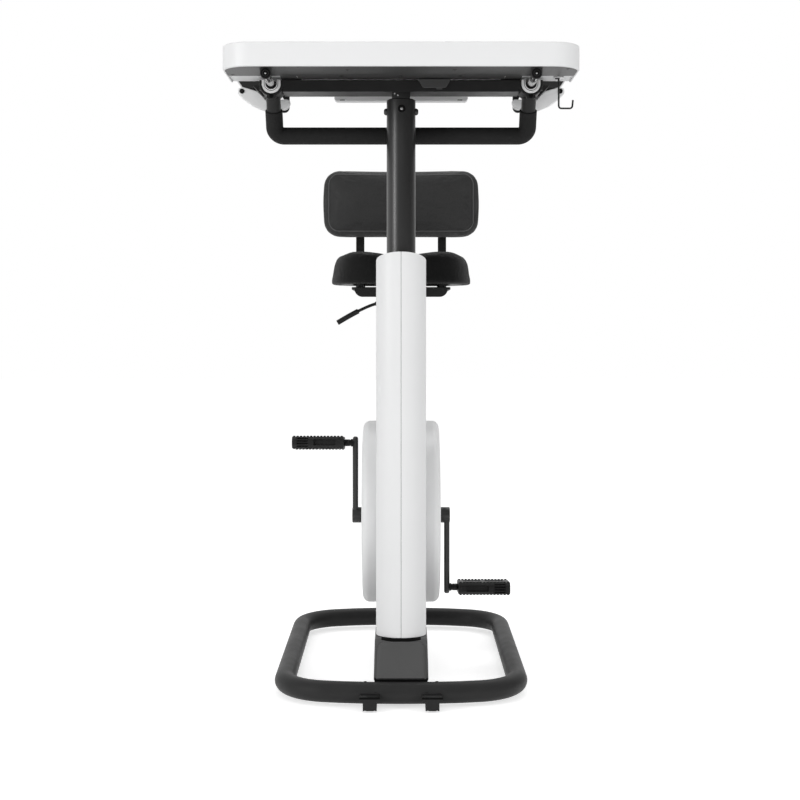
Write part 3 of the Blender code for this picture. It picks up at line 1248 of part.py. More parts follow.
def backrest_outline(inset, spans=6):
    """The backrest's outline, with its long edges split so that the crown can bend them."""
    half = BACKREST_WIDTH / 2 - inset
    low = BACKREST_BOTTOM + inset
    high = BACKREST_BOTTOM + BACKREST_HEIGHT - inset
    radius = max(BACKREST_LEAST_RADIUS, BACKREST_CORNER_RADIUS - inset)
    bent = rounded([(-half, low), (half, low), (half, high), (-half, high)], radius, 6)
    points = []
    for (x, z), (next_x, _) in zip(bent, bent[1:] + bent[:1]):
        points.append((x, z))
        if abs(next_x - x) > half:
            points += [(x + (next_x - x) * k / spans, z) for k in range(1, spans)]
    return points


def backrest():
    shell_back = BACK_Y - BAR_SHEET - GAP
    shell_front = shell_back - BACK_SHELL_THICKNESS
    cushion_back = shell_front - GAP
    rim = BACKREST_THICKNESS - BACKREST_CROWN
    middle_z = BACKREST_BOTTOM + BACKREST_HEIGHT / 2

    def crowned(x, z):
        across = min(1, abs(x) / (BACKREST_WIDTH / 2))
        up = min(1, abs(z - middle_z) / (BACKREST_HEIGHT / 2))
        return BACKREST_CROWN * (1 - across**3) * (1 - up**2.4)

    layers = [(0.050, 0.0, 0), (0.024, 0.0, 0), (0.012, 0.0, 0), (0.005, 0.003, 0), (0.001, 0.010, 0)]
    layers += [(0.0, 0.018, 0), (0.001, 0.026, 0), (0.005, 0.033, 0), (0.012, rim, 0.5), (0.024, rim, 1)]
    layers += [(0.038, rim, 1), (0.054, rim, 1), (0.068, rim, 1)]
    rings = []
    for inset, depth, shaped in layers:
        loop = []
        for x, z in backrest_outline(inset):
            loop.append((x, cushion_back - depth - crowned(x, z) * shaped, z))
        rings.append(loop)
    lofted("backrest_cushion", rings, BLACK_FABRIC, (0, cushion_back, middle_z))
    prism("backrest_shell", backrest_outline(BACK_SHELL_INSET), "Y", shell_front, shell_back, BLACK_PLASTIC)


def backrest_yoke():
    """The plate under the seat with its front lip, and the two flat bars that rise behind the backrest."""
    half = YOKE_WIDTH / 2
    front = SEAT_Y - YOKE_AHEAD_OF_POST
    corners = [(-half, front), (half, front), (half, front + YOKE_LENGTH), (-half, front + YOKE_LENGTH)]
    outline = rounded(corners, YOKE_CORNER_RADIUS, 3)
    plate = prism("backrest_yoke", outline, "Z", YOKE_BOTTOM, YOKE_TOP, BLACK_PAINT)
    lip_low = YOKE_TOP - YOKE_LIP
    lip_high = YOKE_TOP - SUNK
    corners = [(-half, lip_high), (-half, lip_low), (half, lip_low), (half, lip_high)]
    lip = rounded(corners, [0, YOKE_LIP_RADIUS, YOKE_LIP_RADIUS, 0], 4)
    fuse(plate, prism("yoke_lip", lip, "Y", front + SUNK, front + YOKE_SHEET, None))
    start = front + YOKE_LENGTH - BAR_OVERLAP
    low = (YOKE_BOTTOM + YOKE_TOP - BAR_SHEET) / 2
    high = low + BAR_SHEET
    inside = BACK_Y - BAR_SHEET
    outer = rounded([(start, low), (BACK_Y, low), (BACK_Y, BAR_TOP)], [0, BAR_BEND, 0], 6)
    inner = rounded([(inside, BAR_TOP), (inside, high), (start, high)], [0, BAR_BEND - BAR_SHEET, 0], 6)
    for side, sign in SIDES:
        edge = sign * BAR_SPREAD - BAR_WIDTH / 2
        fuse(plate, prism(f"yoke_bar_{side}", outer + inner, "X", edge, edge + BAR_WIDTH, None))


def seat_pan():
    """The board under the cushion, held off the yoke's plate by a block near each corner."""
    low = PAN_TOP - SEAT_PAN_BOARD
    pan = prism("seat_pan", seat_outline(SEAT_PAN_INSET), "Z", low, PAN_TOP, BLACK_PLASTIC)
    front = SEAT_Y - YOKE_AHEAD_OF_POST + SEAT_BLOCK_FROM_YOKE_END
    back = SEAT_Y - YOKE_AHEAD_OF_POST + YOKE_LENGTH - SEAT_BLOCK_FROM_YOKE_END
    for side, sign in SIDES:
        x = sign * SEAT_BLOCK_SPREAD
        for end, y in (("front", front), ("rear", back)):
            foot = block(
                f"seat_block_{end}_{side}",
                (x - SEAT_BLOCK_WIDTH / 2, y - SEAT_BLOCK_LENGTH / 2, PAN_BOTTOM),
                (x + SEAT_BLOCK_WIDTH / 2, y + SEAT_BLOCK_LENGTH / 2, low + SUNK),
                None,
            )
            fuse(pan, foot)


def seat():
    bore = SEAT_POST_RADIUS - SEAT_POST_WALL
    low = SPINE_TOP + GAP
    axis = (0, SEAT_Y, 0)
    ring("seat_post_tube", "Z", axis, low, SEAT_POST_TOP, bore, SEAT_POST_RADIUS, BLACK_PAINT, 32)
    column = bore - RUN
    top = SEAT_PLATE_BOTTOM - GAP
    bore_top = SEAT_COLUMN_BOTTOM + SEAT_COLUMN_BORE_DEPTH
    clear = SEAT_COLUMN_BORE_RADIUS
    profile = [(bore_top, 0), (bore_top, clear), (SEAT_COLUMN_BOTTOM, clear), (SEAT_COLUMN_BOTTOM, column)]
    profile += [(top, column), (top, 0)]
    turned("seat_column", profile, "Z", axis, BLACK_PAINT, 28)
    rod("seat_gas_rod", "Z", axis, low, SEAT_ROD_TOP, SEAT_ROD_RADIUS, CHROME, 16)
    half = SEAT_PLATE_WIDTH / 2
    block(
        "seat_plate",
        (-half, SEAT_Y - SEAT_PLATE_LENGTH / 2, SEAT_PLATE_BOTTOM),
        (half, SEAT_Y + SEAT_PLATE_LENGTH / 2, SEAT_PLATE_TOP),
        BLACK_PAINT,
    )
    backrest_yoke()
    seat_pan()
    seat_cushion()
    backrest()
    seat_lever(half)


def seat_lever(half):
    """The bent rod on the left of the seat plate, with its grip."""
    hub_x = -half - GAP - LEVER_HUB_RADIUS
    pivot = Vector((hub_x, SEAT_Y - SEAT_PLATE_LENGTH / 4, SEAT_PLATE_BOTTOM + LEVER_HUB_RADIUS))
    count = 12
    path = []
    radii = []
    for i in range(count + 1):
        share = i / count
        path.append((pivot.x - LEVER_REACH * share, pivot.y, pivot.z - LEVER_FALL * share**LEVER_CURVE))
        gripped = share > 1 - LEVER_GRIP_SHARE
        radii.append(LEVER_GRIP_RADIUS if gripped else LEVER_ROD_RADIUS)
    radii[-1] = LEVER_TIP_RADIUS
    lever = swept("seat_lever", path, radii, (0, 1, 0), BLACK_PLASTIC, 10, origin=pivot)
    reach = LEVER_HUB_LENGTH / 2
    fuse(lever, rod("lever_hub", "Y", pivot, -reach, reach, LEVER_HUB_RADIUS, None, 14))


def main():
    for old in list(bpy.data.objects):
        bpy.data.objects.remove(old, do_unlink=True)
    base()
    mast()
    beam()
    side_levers()
    release_paddle()
    desktop()
    underside_plate()
    slide_rods()
    tray_and_hook()
    housing()
    drive_frame()
    crank()
    transmission()
    resistance_knob()
    seat()


main()
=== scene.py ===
# %% [markdown]
# # Desk exercise bike: the looks
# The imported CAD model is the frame: each piece at its real size, on the body that it moves with. This
# script dresses that frame. It swaps plain solids for finer meshes, gives every surface a finish made
# with nodes, and adds the fasteners. No dimension changes here, so sizes are read from the CAD nodes'
# boxes wherever a piece stands for a node.

# %% Load the frame
import json
import math

import bmesh
import bpy
from mathutils import Matrix, Vector

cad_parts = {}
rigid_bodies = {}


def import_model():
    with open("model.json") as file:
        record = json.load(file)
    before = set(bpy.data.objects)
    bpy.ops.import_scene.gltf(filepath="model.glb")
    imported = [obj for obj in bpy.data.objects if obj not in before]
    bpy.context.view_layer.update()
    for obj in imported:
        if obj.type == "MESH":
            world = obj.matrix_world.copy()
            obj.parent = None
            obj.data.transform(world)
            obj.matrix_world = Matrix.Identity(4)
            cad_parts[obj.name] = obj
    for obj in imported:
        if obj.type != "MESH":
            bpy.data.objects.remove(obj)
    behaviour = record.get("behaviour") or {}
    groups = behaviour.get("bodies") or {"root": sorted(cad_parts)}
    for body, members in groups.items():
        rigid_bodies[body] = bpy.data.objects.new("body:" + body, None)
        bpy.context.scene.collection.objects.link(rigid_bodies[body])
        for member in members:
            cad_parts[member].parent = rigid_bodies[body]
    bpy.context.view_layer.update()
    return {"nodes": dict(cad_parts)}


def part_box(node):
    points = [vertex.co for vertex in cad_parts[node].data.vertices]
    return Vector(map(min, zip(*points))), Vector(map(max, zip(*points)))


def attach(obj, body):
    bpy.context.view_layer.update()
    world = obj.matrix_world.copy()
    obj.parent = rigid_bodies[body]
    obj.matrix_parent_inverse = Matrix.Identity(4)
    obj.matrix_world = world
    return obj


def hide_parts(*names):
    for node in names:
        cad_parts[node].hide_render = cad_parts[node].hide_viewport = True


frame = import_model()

nodes = frame["nodes"]
SIDES = (("left", -1), ("right", 1))


def box(node):
    """The low and the high corner of a CAD node."""
    return [Vector(corner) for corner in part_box(node)]


def added(name, data):
    """A new object in the scene."""
    made = bpy.data.objects.new(name, data)
    bpy.context.scene.collection.objects.link(made)
    return made


# %% [markdown]
# ## Camera
# A product photograph like this one is taken with a level camera, so that uprights stay upright, and its
# frame is then moved down over the lens. That is a lens shift, not a tilt. The focal length and the
# camera's height come from the ring's front and rear tubes, which are the same width at two depths.

# %% Camera at the photograph's place
PHOTO_SIZE = 800
FOCAL_PIXELS = 1444
HORIZON_ROW = 320
MIDDLE_COLUMN = 401.1
CAMERA_DISTANCE, CAMERA_HEIGHT = 2.98, 0.700

lens = bpy.data.cameras.new("photo_camera")
lens.sensor_width = 36
lens.lens = lens.sensor_width * FOCAL_PIXELS / PHOTO_SIZE
lens.shift_x = (PHOTO_SIZE / 2 - MIDDLE_COLUMN) / PHOTO_SIZE
lens.shift_y = (HORIZON_ROW - PHOTO_SIZE / 2) / PHOTO_SIZE
camera = added("photo_camera", lens)
camera.location = (0, -CAMERA_DISTANCE, CAMERA_HEIGHT)
camera.rotation_euler = (math.radians(90), 0, 0)
bpy.context.scene.camera = camera
print("focal length:", round(lens.lens, 1), "mm")

# %% [markdown]
# ## Shader maths
# A finish is easier to read as an expression than as a web of wires. `Link` wraps one output socket, and
# arithmetic on it adds Math nodes. `Shading` is a shader tree: its method `node` adds any node, given its
# type, its settings (which have to be set first) and the values or links of its inputs. `Finish` is one
# material, with the slot that it fills.

# %% Links and finishes
NEUTRAL = (1, 1, 1)


def wired(tree, kind, settings=None, inputs=None):
    """A node of a tree, with its settings first and then the values or sources of its inputs."""
    made = tree.nodes.new(kind)
    for setting, value in (settings or {}).items():
        setattr(made, setting, value)
    for socket, value in (inputs or {}).items():
        if isinstance(value, bpy.types.NodeSocket):
            tree.links.new(value, made.inputs[socket])
        else:
            made.inputs[socket].default_value = value
    return made


def grey(level, tint=NEUTRAL):
    """The scene's linear colour for an sRGB grey level from 0 to 255."""
    value = ((level / 255 + 0.055) / 1.055) ** 2.4
    return tuple(value * t for t in tint)


class Link:
    """An output socket of a shader tree, on which arithmetic adds Math nodes."""

    def __init__(self, shading, socket):
        self.shading = shading
        self.socket = socket

    def __add__(self, other):
        return self.shading.maths("ADD", self, other)

    def __mul__(self, other):
        return self.shading.maths("MULTIPLY", self, other)

    __radd__ = __add__
    __rmul__ = __mul__


class Shading:
    """A shader tree whose nodes are written as expressions."""

    def __init__(self, tree):
        self.tree = tree

    def node(self, kind, settings=None, inputs=None, output=0):
        sources = {}
        for socket, value in (inputs or {}).items():
            sources[socket] = value.socket if isinstance(value, Link) else value
        return Link(self, wired(self.tree, kind, settings, sources).outputs[output])

    def maths(self, operation, *values):
        return self.node("ShaderNodeMath", {"operation": operation}, dict(enumerate(values)))

    def spread(self, value, low, high, to_low=0.0, to_high=1.0):
        inputs = dict(enumerate((value, low, high, to_low, to_high)))
        return self.node("ShaderNodeMapRange", {"clamp": True}, inputs)

    def between(self, factor, first, second):
        return self.node("ShaderNodeMix", None, {0: factor, 2: first, 3: second})

    def rays(self):
        """Three links, each 1 for one kind of ray: from the camera, mirrored, let through."""
        kinds = ("Camera", "Glossy", "Transmission")
        return [self.node("ShaderNodeLightPath", output=f"Is {kind} Ray") for kind in kinds]

    def feed(self, node, socket, link):
        self.tree.links.new(link.socket, self.tree.nodes[node].inputs[socket])


class Finish(Shading):
    """A material with a Principled shader, for one slot."""

    def __init__(self, name, slot, colour, roughness, metallic=0.0, specular=0.5):
        self.slot = slot
        self.material = bpy.data.materials.new(name)
        self.material.use_nodes = True
        self.material.diffuse_color = (*colour, 1)
        super().__init__(self.material.node_tree)
        self.shader = self.tree.nodes["Principled BSDF"]
        values = {"Base Color": (*colour, 1), "Roughness": roughness, "Metallic": metallic}
        for socket, value in {**values, "Specular IOR Level": specular}.items():
            self.shader.inputs[socket].default_value = value
        self.place = self.node("ShaderNodeTexCoord", output="Object")

    def noise(self, size, detail=3, roughness=0.5, grain=None):
        """Soft noise from 0 to 1, its features this many metres wide, drawn out by a grain's three scales."""
        place = self.place
        if grain:
            place = self.node("ShaderNodeVectorMath", {"operation": "MULTIPLY"}, {0: place, 1: grain})
        inputs = {"Vector": place, "Scale": 1 / size, "Detail": detail, "Roughness": roughness}
        return self.node("ShaderNodeTexNoise", None, inputs)

    def cells(self, size, feature="F1"):
        """Distance to the nearest of scattered points, or to the edge between two cells."""
        inputs = {"Vector": self.place, "Scale": 1 / size}
        return self.node("ShaderNodeTexVoronoi", {"feature": feature}, inputs, "Distance")

    def surfaced(self, tone, levels, rub=None, roughness=(), bumps=None, depth=0.0, span=(0.3, 0.7),
                 tint=NEUTRAL):
        """Colour between two grey levels, roughness between two values, and bumps this many metres deep."""
        ends = [(*grey(level, tint), 1) for level in levels]
        colour = self.node("ShaderNodeMix", {"data_type": "RGBA"}, {0: tone, 6: ends[0], 7: ends[1]}, 2)
        self.feed("Principled BSDF", "Base Color", colour)
        if rub:
            self.feed("Principled BSDF", "Roughness", self.spread(rub, *span, *roughness))
        if bumps:
            inputs = {"Height": bumps, "Distance": depth, "Strength": 1.0}
            self.feed("Principled BSDF", "Normal", self.node("ShaderNodeBump", None, inputs))
        return self


print("linear value of sRGB grey 232:", round(grey(232)[0], 3))

# %% [markdown]
# ## Studio
# The photograph has a pure white ground and no strong shadow. White for the camera comes from the world
# and the floor seen by camera rays, and not from more light on the object. Metal reflects that white
# too, and sees a dimmer room in front, where the photographer stands, and on the right. The floor stays a
# matt white surface under its glow, so that the bike still throws a faint shadow on it.

# %% White world, floor and soft lamps
ROOM_LIGHT, ROOM_IN_FRONT, DARK_RIGHT = 0.52, 0.22, 0.30
FLOOR_GLOW, FLOOR_REACH = 0.62, 14
BIKE_MIDDLE = Vector((0, 0, 0.65))
WHITE = (1, 1, 1, 1)

world = bpy.data.worlds.new("studio")
bpy.context.scene.world = world
world.use_nodes = True
sky = Shading(world.node_tree)
seen, glossy, through = sky.rays()
direction = sky.node("ShaderNodeTexCoord", output="Generated")
sideways, depth = (sky.node("ShaderNodeSeparateXYZ", None, {0: direction}, axis) for axis in (0, 1))
room = sky.spread(depth, -0.35, 0.35, ROOM_IN_FRONT, 1.0) * sky.spread(sideways, 0.35, 0.95, 1.0, DARK_RIGHT)
lit = sky.between(sky.maths("MAXIMUM", glossy, through), ROOM_LIGHT, room)
sky.tree.nodes["Background"].inputs["Color"].default_value = WHITE
sky.feed("Background", "Strength", sky.between(seen, lit, 1.0))

floor_mesh = bpy.data.meshes.new("floor")
corners = [(x * FLOOR_REACH, y * FLOOR_REACH, 0) for x, y in ((-1, -1), (1, -1), (1, 1), (-1, 1))]
floor_mesh.from_pydata(corners, [], [(0, 1, 2, 3)])
ground = Finish("white_floor", None, (0.8, 0.8, 0.8), 0.9, specular=0.0)
seen, glossy, through = ground.rays()
inputs = {"Color": WHITE, "Strength": (seen + glossy + through) * FLOOR_GLOW}
glow = ground.node("ShaderNodeEmission", None, inputs)
both = ground.node("ShaderNodeAddShader", None, {0: glow, 1: ground.shader.outputs[0]})
ground.feed("Material Output", "Surface", both)
floor_mesh.materials.append(ground.material)
added("floor", floor_mesh)


def lamp(name, place, size, watts, mirrored=True):
    """A soft box that looks at the middle of the bike. Shiny surfaces mirror it unless that is off."""
    light = bpy.data.lights.new(name, "AREA")
    light.shape = "RECTANGLE"
    light.size, light.size_y = size
    light.energy = watts
    soft_box = added(name, light)
    soft_box.location = place
    soft_box.rotation_euler = (BIKE_MIDDLE - Vector(place)).to_track_quat("-Z", "Y").to_euler()
    soft_box.visible_glossy = mirrored


lamp("key_left", (-3.3, -2.7, 1.6), (0.9, 1.8), 55)
lamp("front", (-0.3, -4.4, 0.45), (2.4, 1.0), 25, mirrored=False)
lamp("front_above", (-0.4, -2.6, 3.0), (2.2, 1.2), 9)
lamp("fill_right", (3.1, -2.3, 1.6), (1.6, 1.8), 36, mirrored=False)
lamp("top_rear", (0.2, 1.6, 3.2), (2.4, 1.4), 22)

# %% [markdown]
# ## Paint on steel
# The ring, the beam and the cranks are powder coated: the powder melts into a skin with a fine orange
# peel, about 1.5 mm from crest to crest, and a sheen that varies a little from place to place. The mast's
# sliding tube has a smoother semi-gloss paint, so its highlight is narrow and bright.

# %% Powder coat and mast paint
def powder_coat(name, level, sheen, specular):
    finish = Finish(name, "black_paint", grey(level), sheen, specular=specular)
    peel, cloud = finish.noise(0.0016, 2), finish.noise(0.035, 4)
    sheens = (sheen - 0.05, sheen + 0.07)
    return finish.surfaced(cloud, (level - 4, level + 4), cloud * 0.7 + peel * 0.3, sheens, peel, 0.00009)


black_paint = powder_coat("black_powder_coat", 25, 0.44, 0.24)
# The crank arms are the same black as the beam. This lighter copy of the coat paints in the light that they,
# their hubs, the domed tube bolts and the rims of the rod caps catch.
lit_black_paint = powder_coat("crank_enamel", 42, 0.36, 0.40)
ring_paint = powder_coat("ring_powder_coat", 44, 0.46, 0.15)

mast_paint = Finish("mast_paint", "mast_paint", grey(24), 0.36, specular=0.75)
drift = mast_paint.noise(0.060, 3, grain=(1, 1, 0.12))
rub = mast_paint.noise(0.0045, 2, grain=(1, 1, 0.02)) * 0.6 + drift * 0.4
mast_paint.surfaced(drift, (21, 27), rub, (0.33, 0.40), mast_paint.noise(0.0022, 2), 0.00003)
print("paints:", black_paint.material.name, mast_paint.material.name)

# %% [markdown]
# ## Moulded plastics
# Moulded covers get their texture from the mould: a spark-eroded steel face leaves pits a fraction of a
# millimetre wide, finer on the white shells than on the black foot cover. Each plastic is the same recipe
# with another pit size, so one function makes them all. A slow change of colour keeps large faces from
# looking like flat card.

# %% White and black plastics
COOL = (0.992, 0.996, 1.0)


def moulded(name, slot, level, roughness, pit, depth, tint=NEUTRAL, drift=3, specular=0.5):
    finish = Finish(name, slot, grey(level, tint), roughness, specular=specular)
    grain, slow = finish.noise(pit, 2, 0.6), finish.noise(0.12, 3)
    sheens = (roughness - 0.05, roughness + 0.06)
    return finish.surfaced(slow, (level - drift, level + drift), grain, sheens, grain, depth, tint=tint)


white_shell = moulded("white_shell_plastic", "white_shell", 226, 0.40, 0.0007, 0.00003, COOL, 1.5)
dark_cover = moulded("grained_cover_plastic", "dark_cover", 76, 0.54, 0.0011, 0.00012, specular=0.35)
black_plastic = moulded("black_plastic", "black_plastic", 21, 0.48, 0.0008, 0.00006, specular=0.30)
# The paddle is black. This grey copy of the black plastic paints in the light that it catches from the floor.
paddle_painted_light = moulded("paddle_plastic", "black_plastic", 58, 0.50, 0.0008, 0.00004, specular=0.30)
# This near-black foam is the real colour of the rod caps, washers and some bolt heads. It also makes the dark
# pieces that paint shade into gaps, slots and shadowed undersides.
black_and_painted_shade = moulded("dark_sealing_foam", "dark_cover", 12, 0.85, 0.0016, 0.0001, drift=2, specular=0.1)
lever_plastic = moulded("lever_plastic", "white_shell", 228, 0.36, 0.0007, 0.00002, COOL, 1.5)

white_desk = Finish("white_desk_laminate", "white_desk", grey(226, COOL), 0.42)
fleck, cloud = white_desk.noise(0.0012, 3, 0.7), white_desk.noise(0.20, 3)
tone, relief = cloud * 0.7 + fleck * 0.3, fleck * 0.7 + cloud * 0.3
white_desk.surfaced(tone, (224, 228), fleck, (0.38, 0.48), relief, 0.00004, tint=COOL)

grey_plate = Finish("grey_plate_paint", "grey_plate", grey(54), 0.45, specular=0.38)
speck = grey_plate.noise(0.0013, 2)
grey_plate.surfaced(grey_plate.noise(0.05, 3), (50, 58), speck, (0.40, 0.52), speck, 0.00007)

rubber = Finish("rubber", "rubber_pad", grey(30), 0.78, specular=0.35)
dust, nap = rubber.noise(0.010, 4, 0.65), rubber.noise(0.0009, 2)
rubber.surfaced(rubber.spread(dust, 0.5, 0.85), (28, 46), dust, (0.70, 0.86), nap, 0.00008)
print("plastics and rubber:", len(bpy.data.materials), "materials so far")

# %% [markdown]
# ## Foam and cover cloth
# The handlebar's grip is closed-cell foam rubber: tiny burst cells in its skin, with no shine. The pits of
# the cells are painted darker, as shade. The seat and the backrest have a matt cover with a pebbled grain
# like leather. Cells with creases between them give that grain, the creases painted darker as shade, and
# finer noise breaks the tops of the pebbles.

# %% Foam grip and seat cover
grip_foam = Finish("grip_foam", "grip_foam", grey(24), 0.70, specular=0.22)
pores, skin = grip_foam.cells(0.0013), grip_foam.noise(0.0005, 2)
relief = grip_foam.spread(pores, 0.1, 0.55) * 0.8 + skin * 0.2
# The pits are painted darker, as shade.
grip_foam.surfaced(grip_foam.spread(pores, 0.15, 0.6), (15, 28), skin, (0.68, 0.82), relief, 0.00022)


def pebbled(name, level, roughness, specular):
    finish = Finish(name, "seat_cover", grey(level), roughness, specular=specular)
    creases = finish.spread(finish.cells(0.0017, "DISTANCE_TO_EDGE"), 0.0, 0.28)
    fine, worn = finish.noise(0.0004, 2), finish.noise(0.06, 4)
    # The tone is painted shade in the creases, mixed with random wear.
    tone, levels = creases * 0.75 + worn * 0.25, (level * 0.75, level * 1.08)
    rub, sheens = creases * 0.5 + worn * 0.5, (roughness + 0.09, roughness - 0.06)
    return finish.surfaced(tone, levels, rub, sheens, creases * 0.85 + fine * 0.15, 0.00016, (0.2, 0.8))


seat_cover = pebbled("seat_cover", 17, 0.62, 0.14)
back_cover = pebbled("backrest_cover", 54, 0.54, 0.22)

# The welt's thread is paler than the cover: a painted highlight along the backrest's firm edge.
welt_highlight = Finish("cover_thread", "seat_cover", grey(84), 0.7)
twist = welt_highlight.noise(0.0006, 1)
welt_highlight.surfaced(twist, (74, 94), bumps=twist, depth=0.0001)
print("soft finishes:", seat_cover.material.name, back_cover.material.name)

# %% [markdown]
# ## Bare metals
# The saddles are brushed along the beam, the rods and gas springs are chromed and ground, and the
# fasteners have a dark zinc finish. A brushed grain is noise that is stretched hard along one axis.

# %% Steel, chrome, iron and dark zinc
def metal(name, slot, colour, roughness, metallic, marks, levels, sheens, depth=0.0, span=(0.3, 0.7)):
    """A metal whose marks, given as (size, detail, roughness, grain), change its colour and its sheen."""
    finish = Finish(name, slot, grey(colour), roughness, metallic)
    marks = finish.noise(*marks)
    return finish.surfaced(marks, levels, marks, sheens, marks if depth else None, depth, span)


BRUSHED = (0.0009, 3, 0.7, (1, 0.03, 1))
WIDE = (0.25, 0.75)
steel = metal("brushed_steel", "steel", 196, 0.30, 1.0, BRUSHED, (184, 206), (0.24, 0.42), 0.00003, WIDE)
satin = metal("satin_nickel", "steel", 226, 0.36, 0.45, BRUSHED, (216, 234), (0.30, 0.46), 0.00002, WIDE)
turning = (0.0011, 2, 0.5, (1, 0.2, 0.2))
iron = metal("turned_iron", "flywheel_iron", 96, 0.42, 1.0, turning, (84, 108), (0.34, 0.52), 0.00004)
zinc = metal("dark_zinc", "steel", 52, 0.34, 0.85, (0.0035, 4, 0.6), (44, 62), (0.26, 0.44))
bright_zinc = metal("bright_zinc", "steel", 190, 0.30, 0.95, (0.003, 4, 0.6), (176, 204), (0.22, 0.40))

chrome = Finish("ground_chrome", "chrome", grey(214), 0.10, 1.0)
smudge = chrome.noise(0.03, 4)
ground_marks = chrome.noise(0.0007, 2, 0.5, (0.5, 0.5, 1))
chrome.surfaced(smudge, (208, 220), ground_marks * 0.4 + smudge * 0.6, (0.07, 0.20))
print("metals done:", len(bpy.data.materials), "materials")

# %% [markdown]
# ## Shapes from outlines and profiles
# Most pieces are cut from plate, moulded between flat faces, or turned. Three helpers cover those: one
# extrudes an outline, one turns a profile round an axis, and one skins a stack of loops. All of them
# merge doubles and point the faces outwards. Edges are then broken with a Bevel modifier, because no
# real edge is perfectly sharp, and a small round catches the light.

# %% Outlines
def arc(centre, radius, start, end, steps):
    """Points on an arc, angles in degrees, both ends included."""
    turns = [math.radians(start + (end - start) * i / steps) for i in range(steps + 1)]
    return [(centre[0] + radius * math.cos(t), centre[1] + radius * math.sin(t)) for t in turns]


def oblong(left, low, right, high):
    """The corners of a rectangle."""
    return [(left, low), (right, low), (right, high), (left, high)]


def symmetric(half):
    """Half of an outline or profile, followed by its mirror image back to the start."""
    return half + [(-a, b) for a, b in reversed(half)]


def sided(points, sign, middle=0):
    """An outline moved to its middle, mirrored for the left side."""
    return [(middle + sign * a, b) for a, b in points]


def cup(middle, top, half, radius, steps):
    """A U, open at the top."""
    return [(middle[0] - half, top), *arc(middle, radius, 180, 360, steps), (middle[0] + half, top)]


def rounded(corners, radius, steps=10):
    """A polygon with each corner replaced by an arc, the radius being one value or one for each corner."""
    radii = radius if isinstance(radius, list) else [radius] * len(corners)
    points = []
    for i, (corner, size) in enumerate(zip(corners, radii)):
        if size == 0:
            points.append(corner)
            continue
        here = Vector(corner)
        before = (Vector(corners[i - 1]) - here).normalized()
        after = (Vector(corners[(i + 1) % len(corners)]) - here).normalized()
        half = before.angle(after) / 2
        centre = here + (before + after).normalized() * size / math.sin(half)
        first = here + before * size / math.tan(half) - centre
        turn = first.angle_signed(here + after * size / math.tan(half) - centre)
        for step in range(steps + 1):
            spun = first.copy()
            spun.rotate(Matrix.Rotation(-turn * step / steps, 2))
            points.append(tuple(centre + spun))
    return points


print("a rounded square has", len(rounded(oblong(0, 0, 1, 1), 0.1)), "points")

# %% [markdown]
# Every solid is a net of faces between loops of points. A finished piece then gets its finish and its body,
# and hides the nodes that it stands for.

# %% Solids and dressing
SHARP = 38


def cleaned(mesh, sharp=SHARP, flatten=False):
    """Merges doubles, points faces outwards and marks edges sharp past an angle. Flat parts can be joined."""
    work = bmesh.new()
    work.from_mesh(mesh)
    bmesh.ops.remove_doubles(work, verts=work.verts, dist=1e-6)
    if flatten:
        bmesh.ops.dissolve_limit(work, angle_limit=math.radians(2), verts=work.verts, edges=work.edges)
    bmesh.ops.recalc_face_normals(work, faces=work.faces)
    work.to_mesh(mesh)
    work.free()
    mesh.shade_smooth()
    mesh.set_sharp_from_angle(angle=math.radians(sharp))


def net(rows, sides, closed=False):
    """The faces between rows of points, each row a loop of this many."""
    faces = []
    for row in range(rows if closed else rows - 1):
        here, there = row * sides, (row + 1) % rows * sides
        for i in range(sides):
            j = (i + 1) % sides
            faces.append([here + i, here + j, there + j, there + i])
    return faces


def skinned(name, points, faces, sharp=SHARP):
    mesh = bpy.data.meshes.new(name)
    mesh.from_pydata([tuple(p) for p in points], [], faces)
    cleaned(mesh, sharp)
    return added(name, mesh)


def prism(name, first, last):
    """A skin between two loops of points, with a flat face at each end."""
    count = len(first)
    return skinned(name, [*first, *last], [*net(2, count), list(range(count)), list(range(count, 2 * count))])


def placed(axis, along, a, b):
    """A point from its place along an axis and its two coordinates across it, in XYZ order."""
    point = [a, b]
    point.insert("XYZ".index(axis), along)
    return Vector(point)


def extruded(name, outline, axis, low, high):
    """An outline across the axis, extruded from low to high along it."""
    return prism(name, *([placed(axis, along, a, b) for a, b in outline] for along in (low, high)))


def turned(name, profile, axis, centre, steps):
    """A solid of revolution. The profile lists (place along the axis, radius), and is a closed loop
    unless it starts and ends on the axis."""
    turns = [2 * math.pi * i / steps for i in range(steps)]
    points = []
    for along, radius in profile:
        loop = [placed(axis, along, radius * math.cos(t), radius * math.sin(t)) for t in turns]
        points += [Vector(centre) + point for point in loop]
    return skinned(name, points, net(len(profile), steps, profile[0][1] > 0))


def lofted(name, loops, sharp=SHARP):
    """A skin over loops of points, its two ends closed by a fan."""
    sides = len(loops[0])
    points = [p for loop in loops for p in loop]
    faces = net(len(loops), sides)
    for loop, start in ((loops[0], 0), (loops[-1], (len(loops) - 1) * sides)):
        points.append(sum((Vector(p) for p in loop), Vector()) / sides)
        faces += [[start + k, start + (k + 1) % sides, len(points) - 1] for k in range(sides)]
    return skinned(name, points, faces, sharp)


def eased(piece, width, segments=3, angle=32):
    """The piece with its edges broken by a small round."""
    if "sharp_edge" in piece.data.attributes:
        piece.data.attributes.remove(piece.data.attributes["sharp_edge"])
    bevel = piece.modifiers.new("broken_edges", "BEVEL")
    bevel.width = width
    bevel.segments = segments
    bevel.limit_method = "ANGLE"
    bevel.angle_limit = math.radians(angle)
    bevel.harden_normals = True
    bevel.use_clamp_overlap = True
    return piece


